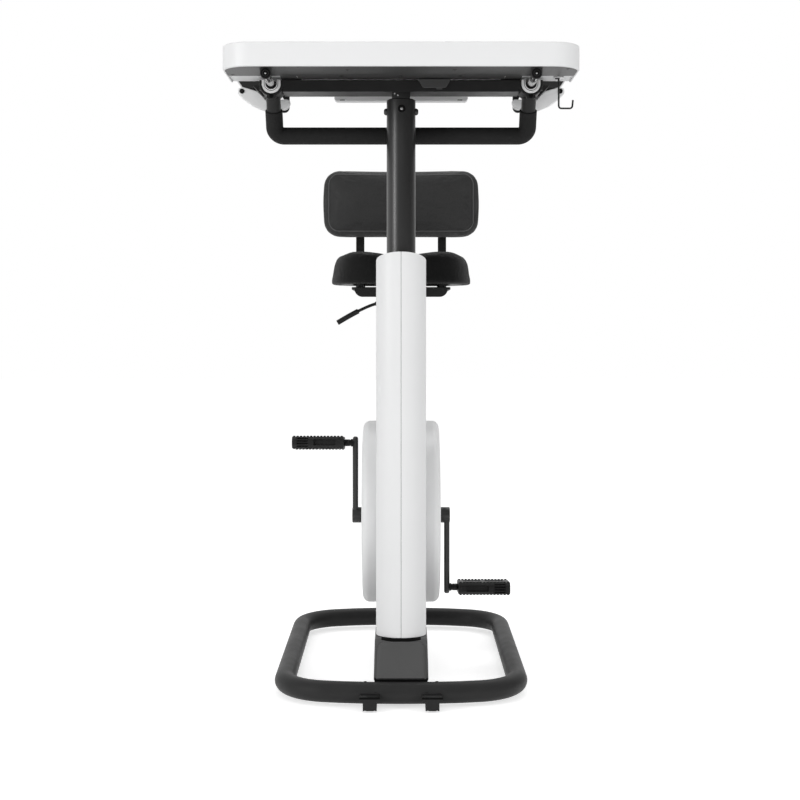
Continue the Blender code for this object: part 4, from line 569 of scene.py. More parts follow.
def plain_mesh(piece):
    """The mesh of a piece with its modifiers worked in."""
    bpy.context.view_layer.update()
    graph = bpy.context.evaluated_depsgraph_get()
    return bpy.data.meshes.new_from_object(piece.evaluated_get(graph), depsgraph=graph)


def applied(piece):
    mesh = plain_mesh(piece)
    piece.modifiers.clear()
    piece.data = mesh
    return piece


def carved(piece, *cutters):
    """The piece less the cutters, which are then deleted."""
    for cutter in cutters:
        boolean = piece.modifiers.new("cut", "BOOLEAN")
        boolean.operation = "DIFFERENCE"
        boolean.solver = "EXACT"
        boolean.object = cutter
    applied(piece)
    for cutter in cutters:
        bpy.data.objects.remove(cutter)
    piece.data.shade_smooth()
    piece.data.set_sharp_from_angle(angle=math.radians(SHARP))
    return piece


def dressed(piece, finish, body, *stands_for, slot=None):
    """Gives a finished piece its material and its body, and hides the nodes that it stands for. The slot is
    not used.
    """
    piece.data.materials.clear()
    piece.data.materials.append(finish.material)
    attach(piece, body)
    if stands_for:
        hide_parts(*stands_for)
    return piece


def slab(name, outline, axis, low, high, edge, *dress, slot=None):
    """An extruded piece, its edges broken by (width, segments, angle) if given, and dressed."""
    piece = extruded(name, outline, axis, low, high)
    return dressed(eased(piece, *edge) if edge else piece, *dress, slot=slot)


def lathed(name, profile, axis, centre, steps, *dress, slot=None):
    """A turned piece, dressed."""
    return dressed(turned(name, profile, axis, centre, steps), *dress, slot=slot)


def copied(node, name, edge, finish, body):
    """A finer stand-in for a boxy CAD node: its mesh, merged and flattened, with its edges broken."""
    mesh = nodes[node].data.copy()
    mesh.name = name
    cleaned(mesh, flatten=True)
    return dressed(eased(added(name, mesh), *edge), finish, body, node)


print("a ring of four points, twice:", len(net(2, 4)), "faces")

# %% [markdown]
# ## Tubes along a path
# The ring, the handlebar, its grip, the hook and the seat lever are all a round section carried along a
# path, so one Geometry Nodes tree makes them: Curve to Mesh with a circle as profile. The tube's radius
# and the number of its sides are named inputs. A path point's own radius scales the section there, which
# rounds off an end. The result is turned into a plain mesh before it joins the bike.

# %% The tube tree
def new_tree(name, inputs):
    """A Geometry Nodes tree with a material and these named inputs, each (name, socket type, value)."""
    tree = bpy.data.node_groups.new(name, "GeometryNodeTree")
    tree.interface.new_socket("Geometry", in_out="INPUT", socket_type="NodeSocketGeometry")
    tree.interface.new_socket("Geometry", in_out="OUTPUT", socket_type="NodeSocketGeometry")
    for label, kind, value in [*inputs, ("Material", "Material", None)]:
        socket = tree.interface.new_socket(label, in_out="INPUT", socket_type=f"NodeSocket{kind}")
        if value is not None:
            socket.default_value = value
    return tree, tree.nodes.new("NodeGroupInput").outputs


def finish_tree(tree, geometry, material):
    """The end of every tree: realise the instances and set the material."""
    real = wired(tree, "GeometryNodeRealizeInstances", None, {0: geometry})
    smooth = wired(tree, "GeometryNodeSetShadeSmooth", None, {"Geometry": real.outputs[0]})
    inputs = {"Geometry": smooth.outputs[0], "Material": material}
    painted = wired(tree, "GeometryNodeSetMaterial", None, inputs)
    wired(tree, "NodeGroupOutput", None, {0: painted.outputs[0]})


def run_tree(piece, tree, values):
    """Runs a tree on a piece with its inputs set by identifier, and returns the plain mesh object."""
    modifier = piece.modifiers.new(tree.name, "NODES")
    modifier.node_group = tree
    for item in tree.interface.items_tree:
        if item.item_type == "SOCKET" and item.in_out == "INPUT" and item.name in values:
            modifier[item.identifier] = values[item.name]
    mesh, name = plain_mesh(piece), piece.name
    bpy.data.objects.remove(piece)
    return added(name, mesh)


tube_tree, given = new_tree("tube_along_path", [("Radius", "Float", 0.01), ("Sides", "Int", 32)])
section = {"Resolution": given["Sides"], "Radius": given["Radius"]}
section = wired(tube_tree, "GeometryNodeCurvePrimitiveCircle", None, section)
skin = {"Curve": given[0], "Profile Curve": section.outputs[0], "Fill Caps": True}
skin = wired(tube_tree, "GeometryNodeCurveToMesh", None, skin)
finish_tree(tube_tree, skin.outputs[0], given["Material"])


def tube(name, path, radius, sides, finish, *dress, closed=False, shares=None, slot=None):
    """A round tube along a path of points, each with its share of the full radius, dressed."""
    curve = bpy.data.curves.new(name, "CURVE")
    curve.dimensions = "3D"
    spline = curve.splines.new("POLY")
    spline.points.add(len(path) - 1)
    for i, (point, place) in enumerate(zip(spline.points, path)):
        point.co = (*place, 1)
        point.radius = shares[i] if shares else 1
    spline.use_cyclic_u = closed
    values = {"Radius": radius, "Sides": sides, "Material": finish.material}
    made = run_tree(added(name, curve), tube_tree, values)
    cleaned(made.data, 50)
    return dressed(made, finish, *dress, slot=slot)


def spaced(path, step, closed=False):
    """The path with points added, so that no two are further apart than the step."""
    path = [Vector(p) for p in path]
    ends = path[1:] + path[:1] if closed else path[1:]
    points = []
    for here, there in zip(path, ends):
        count = max(1, math.ceil((there - here).length / step))
        points += [here.lerp(there, k / count) for k in range(count)]
    return points if closed else [*points, path[-1]]


print("tree:", tube_tree.name)

# %% [markdown]
# ## Screws
# Screws and bolts are the same turned head at many places, so a second tree sets one head on each point
# of a mesh. It points them all one way and gives each its own turn, from a fixed seed. Hand-placed copies
# would do as well for so few, but the tree keeps each group down to a list of places.

# %% The screw tree
named_inputs = [("Head", "Object", None), ("Facing", "Vector", None), ("Seed", "Int", 3)]
screw_tree, given = new_tree("screws_at_points", named_inputs)
one_head = wired(screw_tree, "GeometryNodeObjectInfo", None, {"Object": given["Head"]})
facing = wired(screw_tree, "FunctionNodeAlignRotationToVector", {"axis": "Z"}, {"Vector": given["Facing"]})
heads = {"Points": given[0], "Instance": one_head.outputs["Geometry"], "Rotation": facing.outputs[0]}
heads = wired(screw_tree, "GeometryNodeInstanceOnPoints", None, heads)
spin = {2: 0.0, 3: 2 * math.pi, "Seed": given["Seed"]}
spin = wired(screw_tree, "FunctionNodeRandomValue", {"data_type": "FLOAT"}, spin)
spin = wired(screw_tree, "ShaderNodeCombineXYZ", None, {"Z": spin.outputs[1]})
spun = {0: heads.outputs[0], "Rotation": spin.outputs[0]}
spun = wired(screw_tree, "GeometryNodeRotateInstances", None, spun)
finish_tree(screw_tree, spun.outputs[0], given["Material"])

TO_FRONT, UP, DOWN = (0.0, -1.0, 0.0), (0.0, 0.0, 1.0), (0.0, 0.0, -1.0)
HEAD_FOOT, SOCKET_FLOOR = -0.0006, 0.45


def screws(name, places, facing, radius, height, finish, body, socket=0.45, flat=0.55, slot=None):
    """Screw heads on these places, with a six-sided socket this share of the head's radius wide. The
    head is a cylinder up to the flat share of its height, and a dome above."""
    inner = radius * socket
    line = [(HEAD_FOOT, 0), (HEAD_FOOT, radius)]
    for turn in map(math.radians, (0, 30, 55, 75)):
        up = height * (flat + (1 - flat) * math.sin(turn))
        line.append((up, inner + (radius - inner) * math.cos(turn)))
    line += [(height, inner), (height * SOCKET_FLOOR, inner), (height * SOCKET_FLOOR, 0)]
    head = turned("one_head", line, "Z", (0, 0, 0), 24)
    for vertex in head.data.vertices:
        across = math.hypot(vertex.co.x, vertex.co.y)
        if 0.5 * inner < across < 1.01 * inner:
            turn = math.atan2(vertex.co.y, vertex.co.x) % (math.pi / 3) - math.pi / 6
            vertex.co.xy = vertex.co.xy * (math.cos(math.pi / 6) / math.cos(turn))
    points = bpy.data.meshes.new(name)
    points.from_pydata([tuple(p) for p in places], [], [])
    values = {"Head": head, "Facing": facing, "Material": finish.material}
    group = run_tree(added(name, points), screw_tree, values)
    bpy.data.objects.remove(head)
    group.data.set_sharp_from_angle(angle=math.radians(SHARP))
    return dressed(group, finish, body, slot=slot)


print("tree:", screw_tree.name)

# %% [markdown]
# ## Base ring
# The base is one tube that is bent into a closed ring: straight sides, front and rear gently bowed
# outwards, four round corners. The path below has the same middle line as the CAD ring, with finer
# steps, so that the highlight along the tube runs smoothly.

# %% Ring tube
ring_low, ring_high = box("base_ring")
RING_TUBE_RADIUS = (ring_high.z - ring_low.z) / 2
RING_HALF = ring_high.x - RING_TUBE_RADIUS
RING_CORNER, RING_STEPS = 0.095, 16
FRONT_BOW, REAR_BOW = 0.026, -0.034
RING_ENDS = ((ring_low.y + RING_TUBE_RADIUS, FRONT_BOW, 1), (ring_high.y - RING_TUBE_RADIUS, REAR_BOW, -1))

bends = []
for end, bow, direction in RING_ENDS:
    reach = direction * (RING_HALF - RING_CORNER * 1.15)
    offsets = [reach * (2 * i / RING_STEPS - 1) for i in range(RING_STEPS + 1)]
    bends += [(-direction * RING_HALF, end + bow), *[(x, end + bow * (x / RING_HALF) ** 2) for x in offsets]]
    bends.append((direction * RING_HALF, end + bow))
corner_radii = [RING_CORNER, *[0] * (RING_STEPS + 1), RING_CORNER] * 2
ring_line = [(x, y, ring_low.z + RING_TUBE_RADIUS) for x, y in rounded(bends, corner_radii, 16)]
path = spaced(ring_line, 0.012, True)
tube("ring_tube", path, RING_TUBE_RADIUS, 48, ring_paint, "base", "base_ring", closed=True)
places = [(sign * 0.065, -0.362, ring_high.z - 0.0004) for _, sign in SIDES]
screws("ring_top_screws", places, UP, 0.0030, 0.0012, zinc, "base")
print("ring points:", len(ring_line))

# %% [markdown]
# ## Under the ring
# Four rubber pads carry the bike, and two small rollers at the front let it be wheeled away. Each roller
# turns in a folded bracket under the tube, behind a small T-shaped guard. The spine is a flat box section
# that joins the front of the ring to its rear and carries the mast, the drive and the seat post. Folded
# and sawn parts like these are the CAD shapes with broken edges.

# %% Pads, rollers, brackets and spine
for end in ("front", "rear"):
    for side, _ in SIDES:
        copied(f"ring_pad_{end}_{side}", f"rubber_pad_{end}_{side}", (0.002,), rubber, "base")

for side, _ in SIDES:
    copied(f"roller_bracket_{side}", f"folded_bracket_{side}", (0.0006, 2), black_paint, "base")
    low, high = box(f"transport_roller_{side}")
    middle, radius, half = (low + high) / 2, (high.z - low.z) / 2, (high.x - low.x) / 2
    front = min(low.y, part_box(f"roller_bracket_{side}")[0][1]) - 0.0008
    guard = symmetric([(0.0120, 0.0048), (0.0120, 0.0200), (0.0180, 0.0200), (0.0180, 0.0262)])
    guard = sided(rounded(guard, 0.0012, 4), 1, middle.x)
    slab(f"roller_guard_{side}", guard, "Y", front - 0.0016, front, (0.0004, 2), black_plastic, "base")
    # A near-black strip along the top of each guard paints the shade along its top edge.
    strip = sided(rounded(oblong(-0.0184, 0.0250, 0.0184, 0.0280), 0.0008, 3), 1, middle.x)
    slab(f"roller_guard_seal_{side}", strip, "Y", front - 0.0020, front + 0.0006, None, black_and_painted_shade, "base",
         slot="black_plastic")
    tread = [(-half, 0), (-half, radius * 0.62), (-half + 0.0008, radius - 0.0022)]
    tread = symmetric(tread + [(-half + 0.0022, radius - 0.0003), (-half + 0.004, radius)])
    lathed(f"roller_{side}_wheel", tread, "X", middle, 64, rubber, f"roller_{side}",
           f"transport_roller_{side}")

copied("base_spine", "spine_box", (0.003,), black_paint, "base")
low_pieces = [o for o in bpy.data.objects if o.name.startswith(("rubber", "folded", "roller_"))]
print("under the ring:", len(low_pieces))

# %% [markdown]
# ## Foot cover
# A black moulding hides the foot of the mast. Its front slopes back, with a raised panel on the slope.
# The panel was made for a label, which stays off this part, so it is bare and grained like the rest.

# %% Foot cover and its panel
cover_low, cover_high = box("foot_cover")
COVER_LIP, COVER_TOP_FRONT, COVER_FLARE = 0.010, -0.308, 0.025
side_view = [(cover_low.y, cover_low.z), (cover_high.y, cover_low.z), (cover_high.y, cover_high.z)]
side_view += [(COVER_TOP_FRONT, cover_high.z), (cover_low.y, cover_low.z + COVER_LIP)]
side_view = rounded(side_view, [0, 0, 0.008, 0.010, 0.003], 8)
cover = extruded("foot_cover_shell", side_view, "X", cover_low.x, cover_high.x)
for vertex in cover.data.vertices:
    vertex.co.x *= 1 - COVER_FLARE * (vertex.co.z - cover_low.z) / (cover_high.z - cover_low.z)
dressed(eased(cover, 0.0034, 4), dark_cover, "base", "foot_cover")
# The near-black strip under the cover's front is painted shadow for the gap between the cover and the ring.
shade_outline = [(-0.384, 0.030), (-0.200, 0.030), (-0.200, 0.0418), (-0.350, 0.0418), (-0.350, 0.0475)]
shade_outline += [(-0.3545, 0.0475), (-0.3545, 0.0418), (-0.372, 0.0418)]
slab("foot_cover_seal", shade_outline, "X", cover_low.x + 0.0015, cover_high.x - 0.0015, (0.0006, 2), black_and_painted_shade, "base")

slope_low = Vector((cover_low.y, cover_low.z + COVER_LIP))
slope = Vector((COVER_TOP_FRONT, cover_high.z)) - slope_low
length = slope.length
slope.normalize()
outwards = Vector((-slope.y, slope.x))
PANEL_HALF, PANEL_RISE, PANEL_SIDE, PANEL_FOOT = 0.0435, 0.0055, 0.0075, -0.0070


def on_slope(x, up, out):
    """A point on the cover's sloping front, this far up the slope and proud of it."""
    return Vector((x, *(slope_low + slope * up + outwards * out)))


corners = symmetric([(PANEL_HALF + 0.0025, PANEL_FOOT), (PANEL_HALF, length - 0.007)])
loops = []
for turn in map(math.radians, (-25, 0, 15, 30, 45, 60, 75, 90)):
    inset, out = PANEL_SIDE * (1 - math.cos(max(0, turn))), PANEL_RISE * math.sin(turn)
    moved = [(x - math.copysign(inset, x), up + (0 if up < 0.01 else -inset * 0.35)) for x, up in corners]
    top_round = 0.014 - inset * 0.6
    loops.append([on_slope(x, up, out) for x, up in rounded(moved, [0.002, top_round, top_round, 0.002], 8)])
dressed(lofted("foot_cover_panel", loops), dark_cover, "base")
print("panel:", round(2 * PANEL_HALF * 1000), "x", round((length - 0.01) * 1000), "mm")

# %% [markdown]
# ## Mast shell
# Two white mouldings meet in a seam along the mast's front and back. The section is half an ellipse in
# front, flat behind. Each half is its wall's outline, extruded, with a sloping top. The broken edges
# along the seam make the fine grey line that the photograph shows.

# %% Shell halves
SHELL_WALL, SHELL_NOSE = 0.003, 0.038
shell_low, shell_high = box("mast_shell_right")
SHELL_SLOPE = math.tan(math.radians(22))


def shell_line(wall, sign, seam=0.0003):
    """Half of the section, from the front seam to the rear seam, this far inside the skin."""
    half, nose, corner = shell_high.x - wall, SHELL_NOSE - wall, 0.014 - wall
    start, back = shell_low.y + SHELL_NOSE, shell_high.y - wall
    turns = [math.pi / 2 * i / 28 for i in range(29)]
    line = [(half * math.sin(t), start - nose * math.cos(t)) for t in turns]
    line += arc((half - corner, back - corner), corner, 0, 90, 10) + [(0, back)]
    line[0], line[-1] = (seam, line[0][1]), (seam, back)
    return sided(line, sign)


for side, sign in SIDES:
    wall = shell_line(0, sign) + shell_line(SHELL_WALL, sign)[::-1]
    foot = [(x, y, shell_low.z) for x, y in wall]
    top = [(x, y, shell_high.z - SHELL_SLOPE * (y - shell_low.y)) for x, y in wall]
    shell = eased(prism(f"mast_shell_{side}_half", foot, top), 0.0007)
    dressed(shell, white_shell, "base", f"mast_shell_{side}")
# A near-black ring round the shell's foot, and a near-black piece folded over the cover's front edge, are
# painted shadow where the shell meets the foot cover.
shade_outline = shell_line(-0.0007, 1) + shell_line(-0.0007, -1)[::-1]
top = cover_high.z
slab("shell_foot_seal", shade_outline, "Z", top - 0.0005, top + 0.0007, (0.0005, 2), black_and_painted_shade, "base")

FOOT_SHADOW_HALF, FOOT_SHADOW_DROP = 0.0365, 0.0064
loops = []
for i in range(25):
    x = FOOT_SHADOW_HALF * (i / 12 - 1)
    drop = length - FOOT_SHADOW_DROP * math.sqrt(max(0.06, 1 - (x / FOOT_SHADOW_HALF) ** 2))
    back, fold = shell_low.y + SHELL_NOSE * (1 - math.sqrt(1 - (x / shell_high.x) ** 2)), COVER_TOP_FRONT
    loop = [(x, back, top + 0.0004), (x, fold - 0.0002, top + 0.0004), on_slope(x, drop, 0.0004)]
    loop += [on_slope(x, drop, -0.0012), (x, fold + 0.001, top - 0.0014), (x, back, top - 0.0008)]
    loops.append(loop)
dressed(lofted("shell_foot_gasket", loops), black_and_painted_shade, "base")
print("shell height:", round((shell_high.z - shell_low.z) * 1000), "mm")

# %% [markdown]
# ## Mast tube and bush
# The painted inner tube slides in a plastic bush at the top of the outer tube. Turned and drawn tubes are
# a profile spun round the axis, hollow like the real ones.

# %% Sliding tube and its bush
def tube_profile(low, high, bore, radius, edge=0.0008):
    """The profile of a hollow tube with a small round at its outer edges."""
    lower = arc((low + edge, radius - edge), edge, 180, 90, 3)
    upper = arc((high - edge, radius - edge), edge, 90, 0, 3)
    return [(low, bore), *lower, *upper, (high, bore)]


tube_low, tube_high = box("mast_inner_tube")
MAST_AXIS = (0, (tube_low.y + tube_high.y) / 2, 0)
profile = tube_profile(tube_low.z, tube_high.z, 0.0242, tube_high.x)
lathed("mast_sliding_tube", profile, "Z", MAST_AXIS, 96, mast_paint, "mast", "mast_inner_tube")

bush_low, bush_high = box("mast_bush")
FLANGE, BUSH_BORE, BUSH_SKIRT = 0.004, 0.0277, 0.0297
foot, top, radius = bush_low.z, bush_high.z, bush_high.x
profile = [(foot, BUSH_BORE), (foot, BUSH_SKIRT), (top - FLANGE, BUSH_SKIRT), (top - FLANGE, radius)]
profile += [(top - 0.0012, radius), (top - 0.0003, radius - 0.0009), (top, radius - 0.002), (top, 0.0284)]
profile += [(top - 0.0008, BUSH_BORE)]
lathed("mast_slide_bush", profile, "Z", MAST_AXIS, 96, black_plastic, "base", "mast_bush")
print("mast tube:", round(tube_high.x * 2000, 1), "mm across")

# %% [markdown]
# ## Head and cross beam
# A plate on top of the tube carries the cross beam, an open channel of folded sheet. At each end a round
# cast trough holds a bright steel saddle, and in the saddle a plastic liner carries one of the desk's
# rods. All three are the same U section at another radius.

# %% Head plate, beam, castings, saddles and liners
copied("mast_head", "head_plate", (0.0016,), black_paint, "mast")

beam_low, beam_high = box("cross_beam")
saddle_low, saddle_high = box("rod_saddle_right")
liner_low, liner_high = box("rod_liner_right")
ROD_SPREAD = (saddle_low.x + saddle_high.x) / 2
CASTING_RADIUS = beam_high.x - ROD_SPREAD
SADDLE_RADIUS = (saddle_high.x - saddle_low.x) / 2
LINER_RADIUS = (liner_high.x - liner_low.x) / 2
ROD_Z = saddle_low.z + SADDLE_RADIUS
ROD_HOLE, BEAM_WALL = 0.0087, 0.003


def trough(name, x, outer, inner, front, back, edge, *dress):
    """A U section along Y, open at the top."""
    hollow = cup((x, ROD_Z), beam_high.z, inner, inner, 40)
    outline = cup((x, ROD_Z), beam_high.z, outer, outer, 40) + hollow[::-1]
    return slab(name, outline, "Y", front, back, (edge,), *dress)


front, back, top = beam_low.y, beam_high.y, beam_high.z
channel_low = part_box("mast_head")[1][2] + 0.0003
channel = [(front, channel_low), (back, channel_low), (back, top), (back - BEAM_WALL, top)]
channel += [(back - BEAM_WALL, channel_low + BEAM_WALL), (front + BEAM_WALL, channel_low + BEAM_WALL)]
channel += [(front + BEAM_WALL, top), (front, top)]
reach = ROD_SPREAD - CASTING_RADIUS + 0.0015
slab("beam_channel", channel, "X", -reach, reach, (0.0009,), black_paint, "mast", "cross_beam")
for side, sign in SIDES:
    x, casting, saddle = sign * ROD_SPREAD, SADDLE_RADIUS + 0.0003, LINER_RADIUS + 0.0003
    trough(f"beam_casting_{side}", x, CASTING_RADIUS, casting, front, back, 0.0012, black_paint, "mast")
    trough(f"steel_saddle_{side}", x, SADDLE_RADIUS, saddle, saddle_low.y, back, 0.0007, satin, "mast",
           f"rod_saddle_{side}")
    trough(f"slide_liner_{side}", x, LINER_RADIUS, ROD_HOLE, liner_low.y, back, 0.0004, black_plastic, "mast",
           f"rod_liner_{side}")
print("rods at x = +/-", round(ROD_SPREAD, 4), "and z =", round(ROD_Z, 4))

# %% [markdown]
# The head is fastened with small bright screws in front, one bolt through a black washer on the tube's
# front, and a domed bolt at each side of the tube.

# %% Screws of the head and the tube
BOLT_X, BOLT_Z = 0.001, 1.0957
tube_front, head_front = MAST_AXIS[1] - tube_high.x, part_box("mast_head")[0][1]
places = [(-0.012, head_front, 1.1233), (-0.006, head_front, 1.1200)]
screws("head_screws", places, TO_FRONT, 0.0015, 0.0006, bright_zinc, "mast")
places = [(BOLT_X, tube_front + 0.0006, BOLT_Z)]
screws("tube_bolt_washer", places, TO_FRONT, 0.0072, 0.0012, black_and_painted_shade, "mast", 0.3, slot="black_paint")
places = [(BOLT_X, tube_front - 0.0001, BOLT_Z)]
screws("tube_bolt", places, TO_FRONT, 0.0026, 0.0016, bright_zinc, "mast")
for side, sign in SIDES:
    places, facing = [(sign * (tube_high.x - 0.0003), MAST_AXIS[1], 1.093)], (float(sign), 0.0, 0.0)
    screws(f"tube_side_bolt_{side}", places, facing, 0.0065, 0.0057, lit_black_paint, "mast", 0.3, 0.2)
print("tube bolt at z =", BOLT_Z)

# %% [markdown]
# ## Handlebar and foam grip
# The bar is a U of round tube in a plane that leans back from the beam, with tight bends. Foam covers it
# from just below the castings. It is pulled on like a sleeve, so it starts as thin as the tube and swells
# to its full width before the bend. The radius of the path's points gives it that swell. A screw in a small
# lug under each casting holds an end of the bar.

# %% U bar and its grip
GRIP_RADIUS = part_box("handlebar_grip")[1][0] - ROD_SPREAD
BAR_RADIUS, BAR_BEND, BAR_DROP, BAR_START = GRIP_RADIUS - 0.0028, GRIP_RADIUS + 0.0015, 0.087, 0.019
bar_top = Vector((0, MAST_AXIS[1], ROD_Z))
fall = Vector((0, 0.052, -BAR_DROP))
bar_length = fall.length
fall.normalize()


def bar_place(x, down):
    return bar_top + fall * down + Vector((x, 0, 0))


flat = symmetric([(-ROD_SPREAD, BAR_START), (-ROD_SPREAD, bar_length)])
flat = rounded(flat, [0, BAR_BEND, BAR_BEND, 0], 24)
path = spaced([bar_place(x, down) for x, down in flat], 0.012)
tube("handlebar_tube", path, BAR_RADIUS, 40, black_paint, "mast", "handlebar")

GRIP_START, GRIP_SWELL = 0.042 * bar_length / BAR_DROP, 0.030
inside = spaced([bar_place(x, max(down, GRIP_START)) for x, down in flat], 0.004)
thin = (BAR_RADIUS + 0.0004) / GRIP_RADIUS
shares = []
for point in inside:
    swell = min(1, min((point - inside[0]).length, (point - inside[-1]).length) / GRIP_SWELL)
    shares.append(thin + (1 - thin) * swell * swell * (3 - 2 * swell))
tube("foam_grip", inside, GRIP_RADIUS, 48, grip_foam, "mast", "handlebar_grip", shares=shares)
lug = rounded(oblong(-0.0085, beam_low.z - 0.0052, 0.0085, beam_low.z + 0.0040), 0.0035, 5)
face = beam_low.y - 0.0006
for side, sign in SIDES:
    place = sided(lug, 1, sign * ROD_SPREAD)
    slab(f"bar_lug_{side}", place, "Y", face, beam_low.y + 0.006, (0.0008, 2), black_paint, "mast")
places = [(sign * ROD_SPREAD, face, beam_low.z + 0.0004) for _, sign in SIDES]
screws("handlebar_screws", places, TO_FRONT, 0.0040, 0.0016, black_and_painted_shade, "mast", 0.55, slot="black_paint")
print("grip:", round(GRIP_RADIUS * 2000, 1), "mm across")

# %% [markdown]
# ## Desktop
# The board is thick along its front edge and steps up to a thinner part behind the beam. It is skinned
# over loops of its rounded outline, with a small round at the top and bottom edges. The step is cut
# from below, and so is the shallow recess for the plate, which leaves a lip along the front edge.

# %% Board
desk_low, desk_high = box("desktop")
DESK_CORNER, DESK_ROUND, RECESS_INSET = 0.055, 0.0025, 0.0037
DESK_SEAT = desk_low.z + 0.0028
DESK_REAR_BOTTOM = desk_high.z - 0.025


def desk_outline(inset, steps=20):
    """The board's plan, this far inside its edge."""
    half, front, rear = desk_high.x - inset, desk_low.y + inset, desk_high.y - inset
    return rounded(oblong(-half, front, half, rear), DESK_CORNER - inset, steps)


turns = [math.radians(degrees) for degrees in range(0, 91, 15)]
levels = [(DESK_ROUND * (1 - math.sin(t)), DESK_ROUND * (1 - math.cos(t))) for t in turns]
loops = [[(x, y, desk_low.z + up) for x, y in desk_outline(inset)] for inset, up in levels]
loops += [[(x, y, desk_high.z - up) for x, y in desk_outline(inset)] for inset, up in reversed(levels)]
step_front, step_back = MAST_AXIS[1] + 0.010, MAST_AXIS[1] + 0.040
below = [(step_front, desk_low.z - 0.01), (step_front, desk_low.z), (step_back, DESK_REAR_BOTTOM)]
below += [(desk_high.y + 0.01, DESK_REAR_BOTTOM), (desk_high.y + 0.01, desk_low.z - 0.01)]
step = extruded("desk_step", below, "X", -0.5, 0.5)
half, radius = desk_high.x - RECESS_INSET, DESK_CORNER - RECESS_INSET
recess = rounded(oblong(-half, desk_low.y + RECESS_INSET, half, step_back), [radius, radius, 0, 0], 20)
recess = extruded("desk_recess", recess, "Z", desk_low.z - 0.02, DESK_SEAT)
dressed(carved(lofted("desk_board", loops), step, recess), white_desk, "desk", "desktop")
print("board:", [round((b - a) * 1000) for a, b in zip(desk_low, desk_high)], "mm")

# %% [markdown]
# ## Underside plate, rods and screw caps
# A dark plate stiffens the front of the board from below. A bright strip along its rear edge paints in the
# edge's highlight, and two ears on it hold the rods. Each rod ends in a black cap with a bright centre in
# front of its ear, and in a welded tab behind. The chromed rod is what the saddles show of the desk's slide.
# Small dark shims lie beside the rods, and a near-black sheet under the thinner rear of the board paints the
# shade there.

# %% Plate, ears, rods and caps
plate_low, plate_high = box("desk_underside")
PLATE_TOP, PLATE_SHEET, ROD_RADIUS = plate_high.z, 0.0022, 0.0075
PLATE_FACE = PLATE_TOP - PLATE_SHEET
tray_low, tray_high = box("underside_tray")
ear_front = desk_low.y + 0.020
half, step_x = plate_high.x, ROD_SPREAD - 0.0500
side_end, middle_end = desk_low.y + 0.106, desk_low.y + 0.140
plan = symmetric([(half, plate_low.y), (half, side_end), (step_x, side_end), (step_x, middle_end)])
plan = rounded(plan, [0.051, *[0.003] * 6, 0.051], 16)
slab("underside_sheet", plan, "Z", PLATE_FACE, PLATE_TOP, (0.0006, 2), grey_plate, "desk", "desk_underside")
# A bright satin strip along the plate's rear edge paints in that edge's highlight.
edge = symmetric([(-half + 0.006, side_end), (-step_x - 0.001, side_end), (-step_x + 0.001, middle_end)])
edge = spaced([(x, y, PLATE_TOP - PLATE_SHEET / 2) for x, y in edge], 0.01)
tube("underside_sheet_edge", edge, PLATE_SHEET / 2 - 0.0001, 12, satin, "desk")

rear = min(0.055, tray_low.y - 0.004)
shade_plan = symmetric([(0.319, -0.205), (0.319, min(0.010, rear)), (0.275, rear)])
low = DESK_REAR_BOTTOM - 0.0016
slab("rear_backing", shade_plan, "Z", low, low + 0.0014, None, black_and_painted_shade, "desk", slot="grey_plate")
for side, sign in SIDES:
    shim = rounded(oblong(sign * 0.188, -0.3055, sign * 0.2245, -0.246), 0.003, 5)
    low = DESK_SEAT - 0.0018
    slab(f"rod_shim_{side}", shim, "Z", low, low + 0.0017, (0.0004, 2), grey_plate, "desk")

for side, sign in SIDES:
    x = sign * ROD_SPREAD
    rod_axis, middle = (x, 0, ROD_Z), (x, ROD_Z)
    ear = cup(middle, PLATE_TOP - 0.001, 0.011, 0.010, 28)
    slab(f"rod_ear_{side}", ear, "Y", ear_front, ear_front + 0.003, (0.0005, 2), grey_plate, "desk")
    rod_low, rod_high = box(f"slide_rod_{side}")
    start, end, front = ear_front + 0.0033, rod_high.y, rod_low.y
    line = [(start, 0), (start, ROD_RADIUS - 0.0008), (start + 0.0008, ROD_RADIUS)]
    line += [(end - 0.0008, ROD_RADIUS), (end, ROD_RADIUS - 0.0008), (end, 0)]
    lathed(f"chromed_rod_{side}", line, "Y", rod_axis, 64, chrome, "desk", f"slide_rod_{side}")
    tab = cup(middle, rod_high.z, 0.011, 0.011, 20)
    slab(f"rod_tab_{side}", tab, "Y", end - 0.008, end, (0.0006, 2), black_paint, "desk")
    cap = [(ear_front - 0.0002, 0), (ear_front - 0.0002, 0.0086), (front + 0.0012, 0.0088)]
    cap += [(front + 0.0003, 0.0082), (front, 0.0072), (front, 0.0036), (front + 0.0016, 0.0033)]
    cap.append((front + 0.0016, 0))
    lathed(f"rod_cap_{side}", cap, "Y", rod_axis, 48, black_and_painted_shade, "desk", slot="black_plastic")
    pin = [(0.0018, 0), (0.0018, 0.0017), (0.0006, 0.0016), (0.0002, 0.0011), (0.0001, 0)]
    lathed(f"rod_pin_{side}", sided(pin, 1, front), "Y", rod_axis, 32, bright_zinc, "desk")
    rim = sided(oblong(-0.0001, 0.0050, 0.0008, 0.0058), 1, front)
    lathed(f"rod_cap_ring_{side}", rim, "Y", rod_axis, 40, lit_black_paint, "desk", slot="black_plastic")
    outer, inner, face = LINER_RADIUS - 0.0006, LINER_RADIUS - 0.0022, liner_low.y - 0.0005
    trough(f"inner_rim_{side}", x, outer, inner, face, liner_low.y + 0.004, 0.0002, satin, "mast")
pairs = [(sign * x, y) for _, sign in SIDES for x, y in ((0.184, -0.406), (0.0970, -0.375), (0.110, -0.311))]
places = [(x, y, PLATE_FACE) for x, y in [*pairs, (0, -0.311), (-0.310, -0.322), (0.300, -0.385)]]
screws("underside_screws", places, DOWN, 0.0042, 0.0007, zinc, "desk")
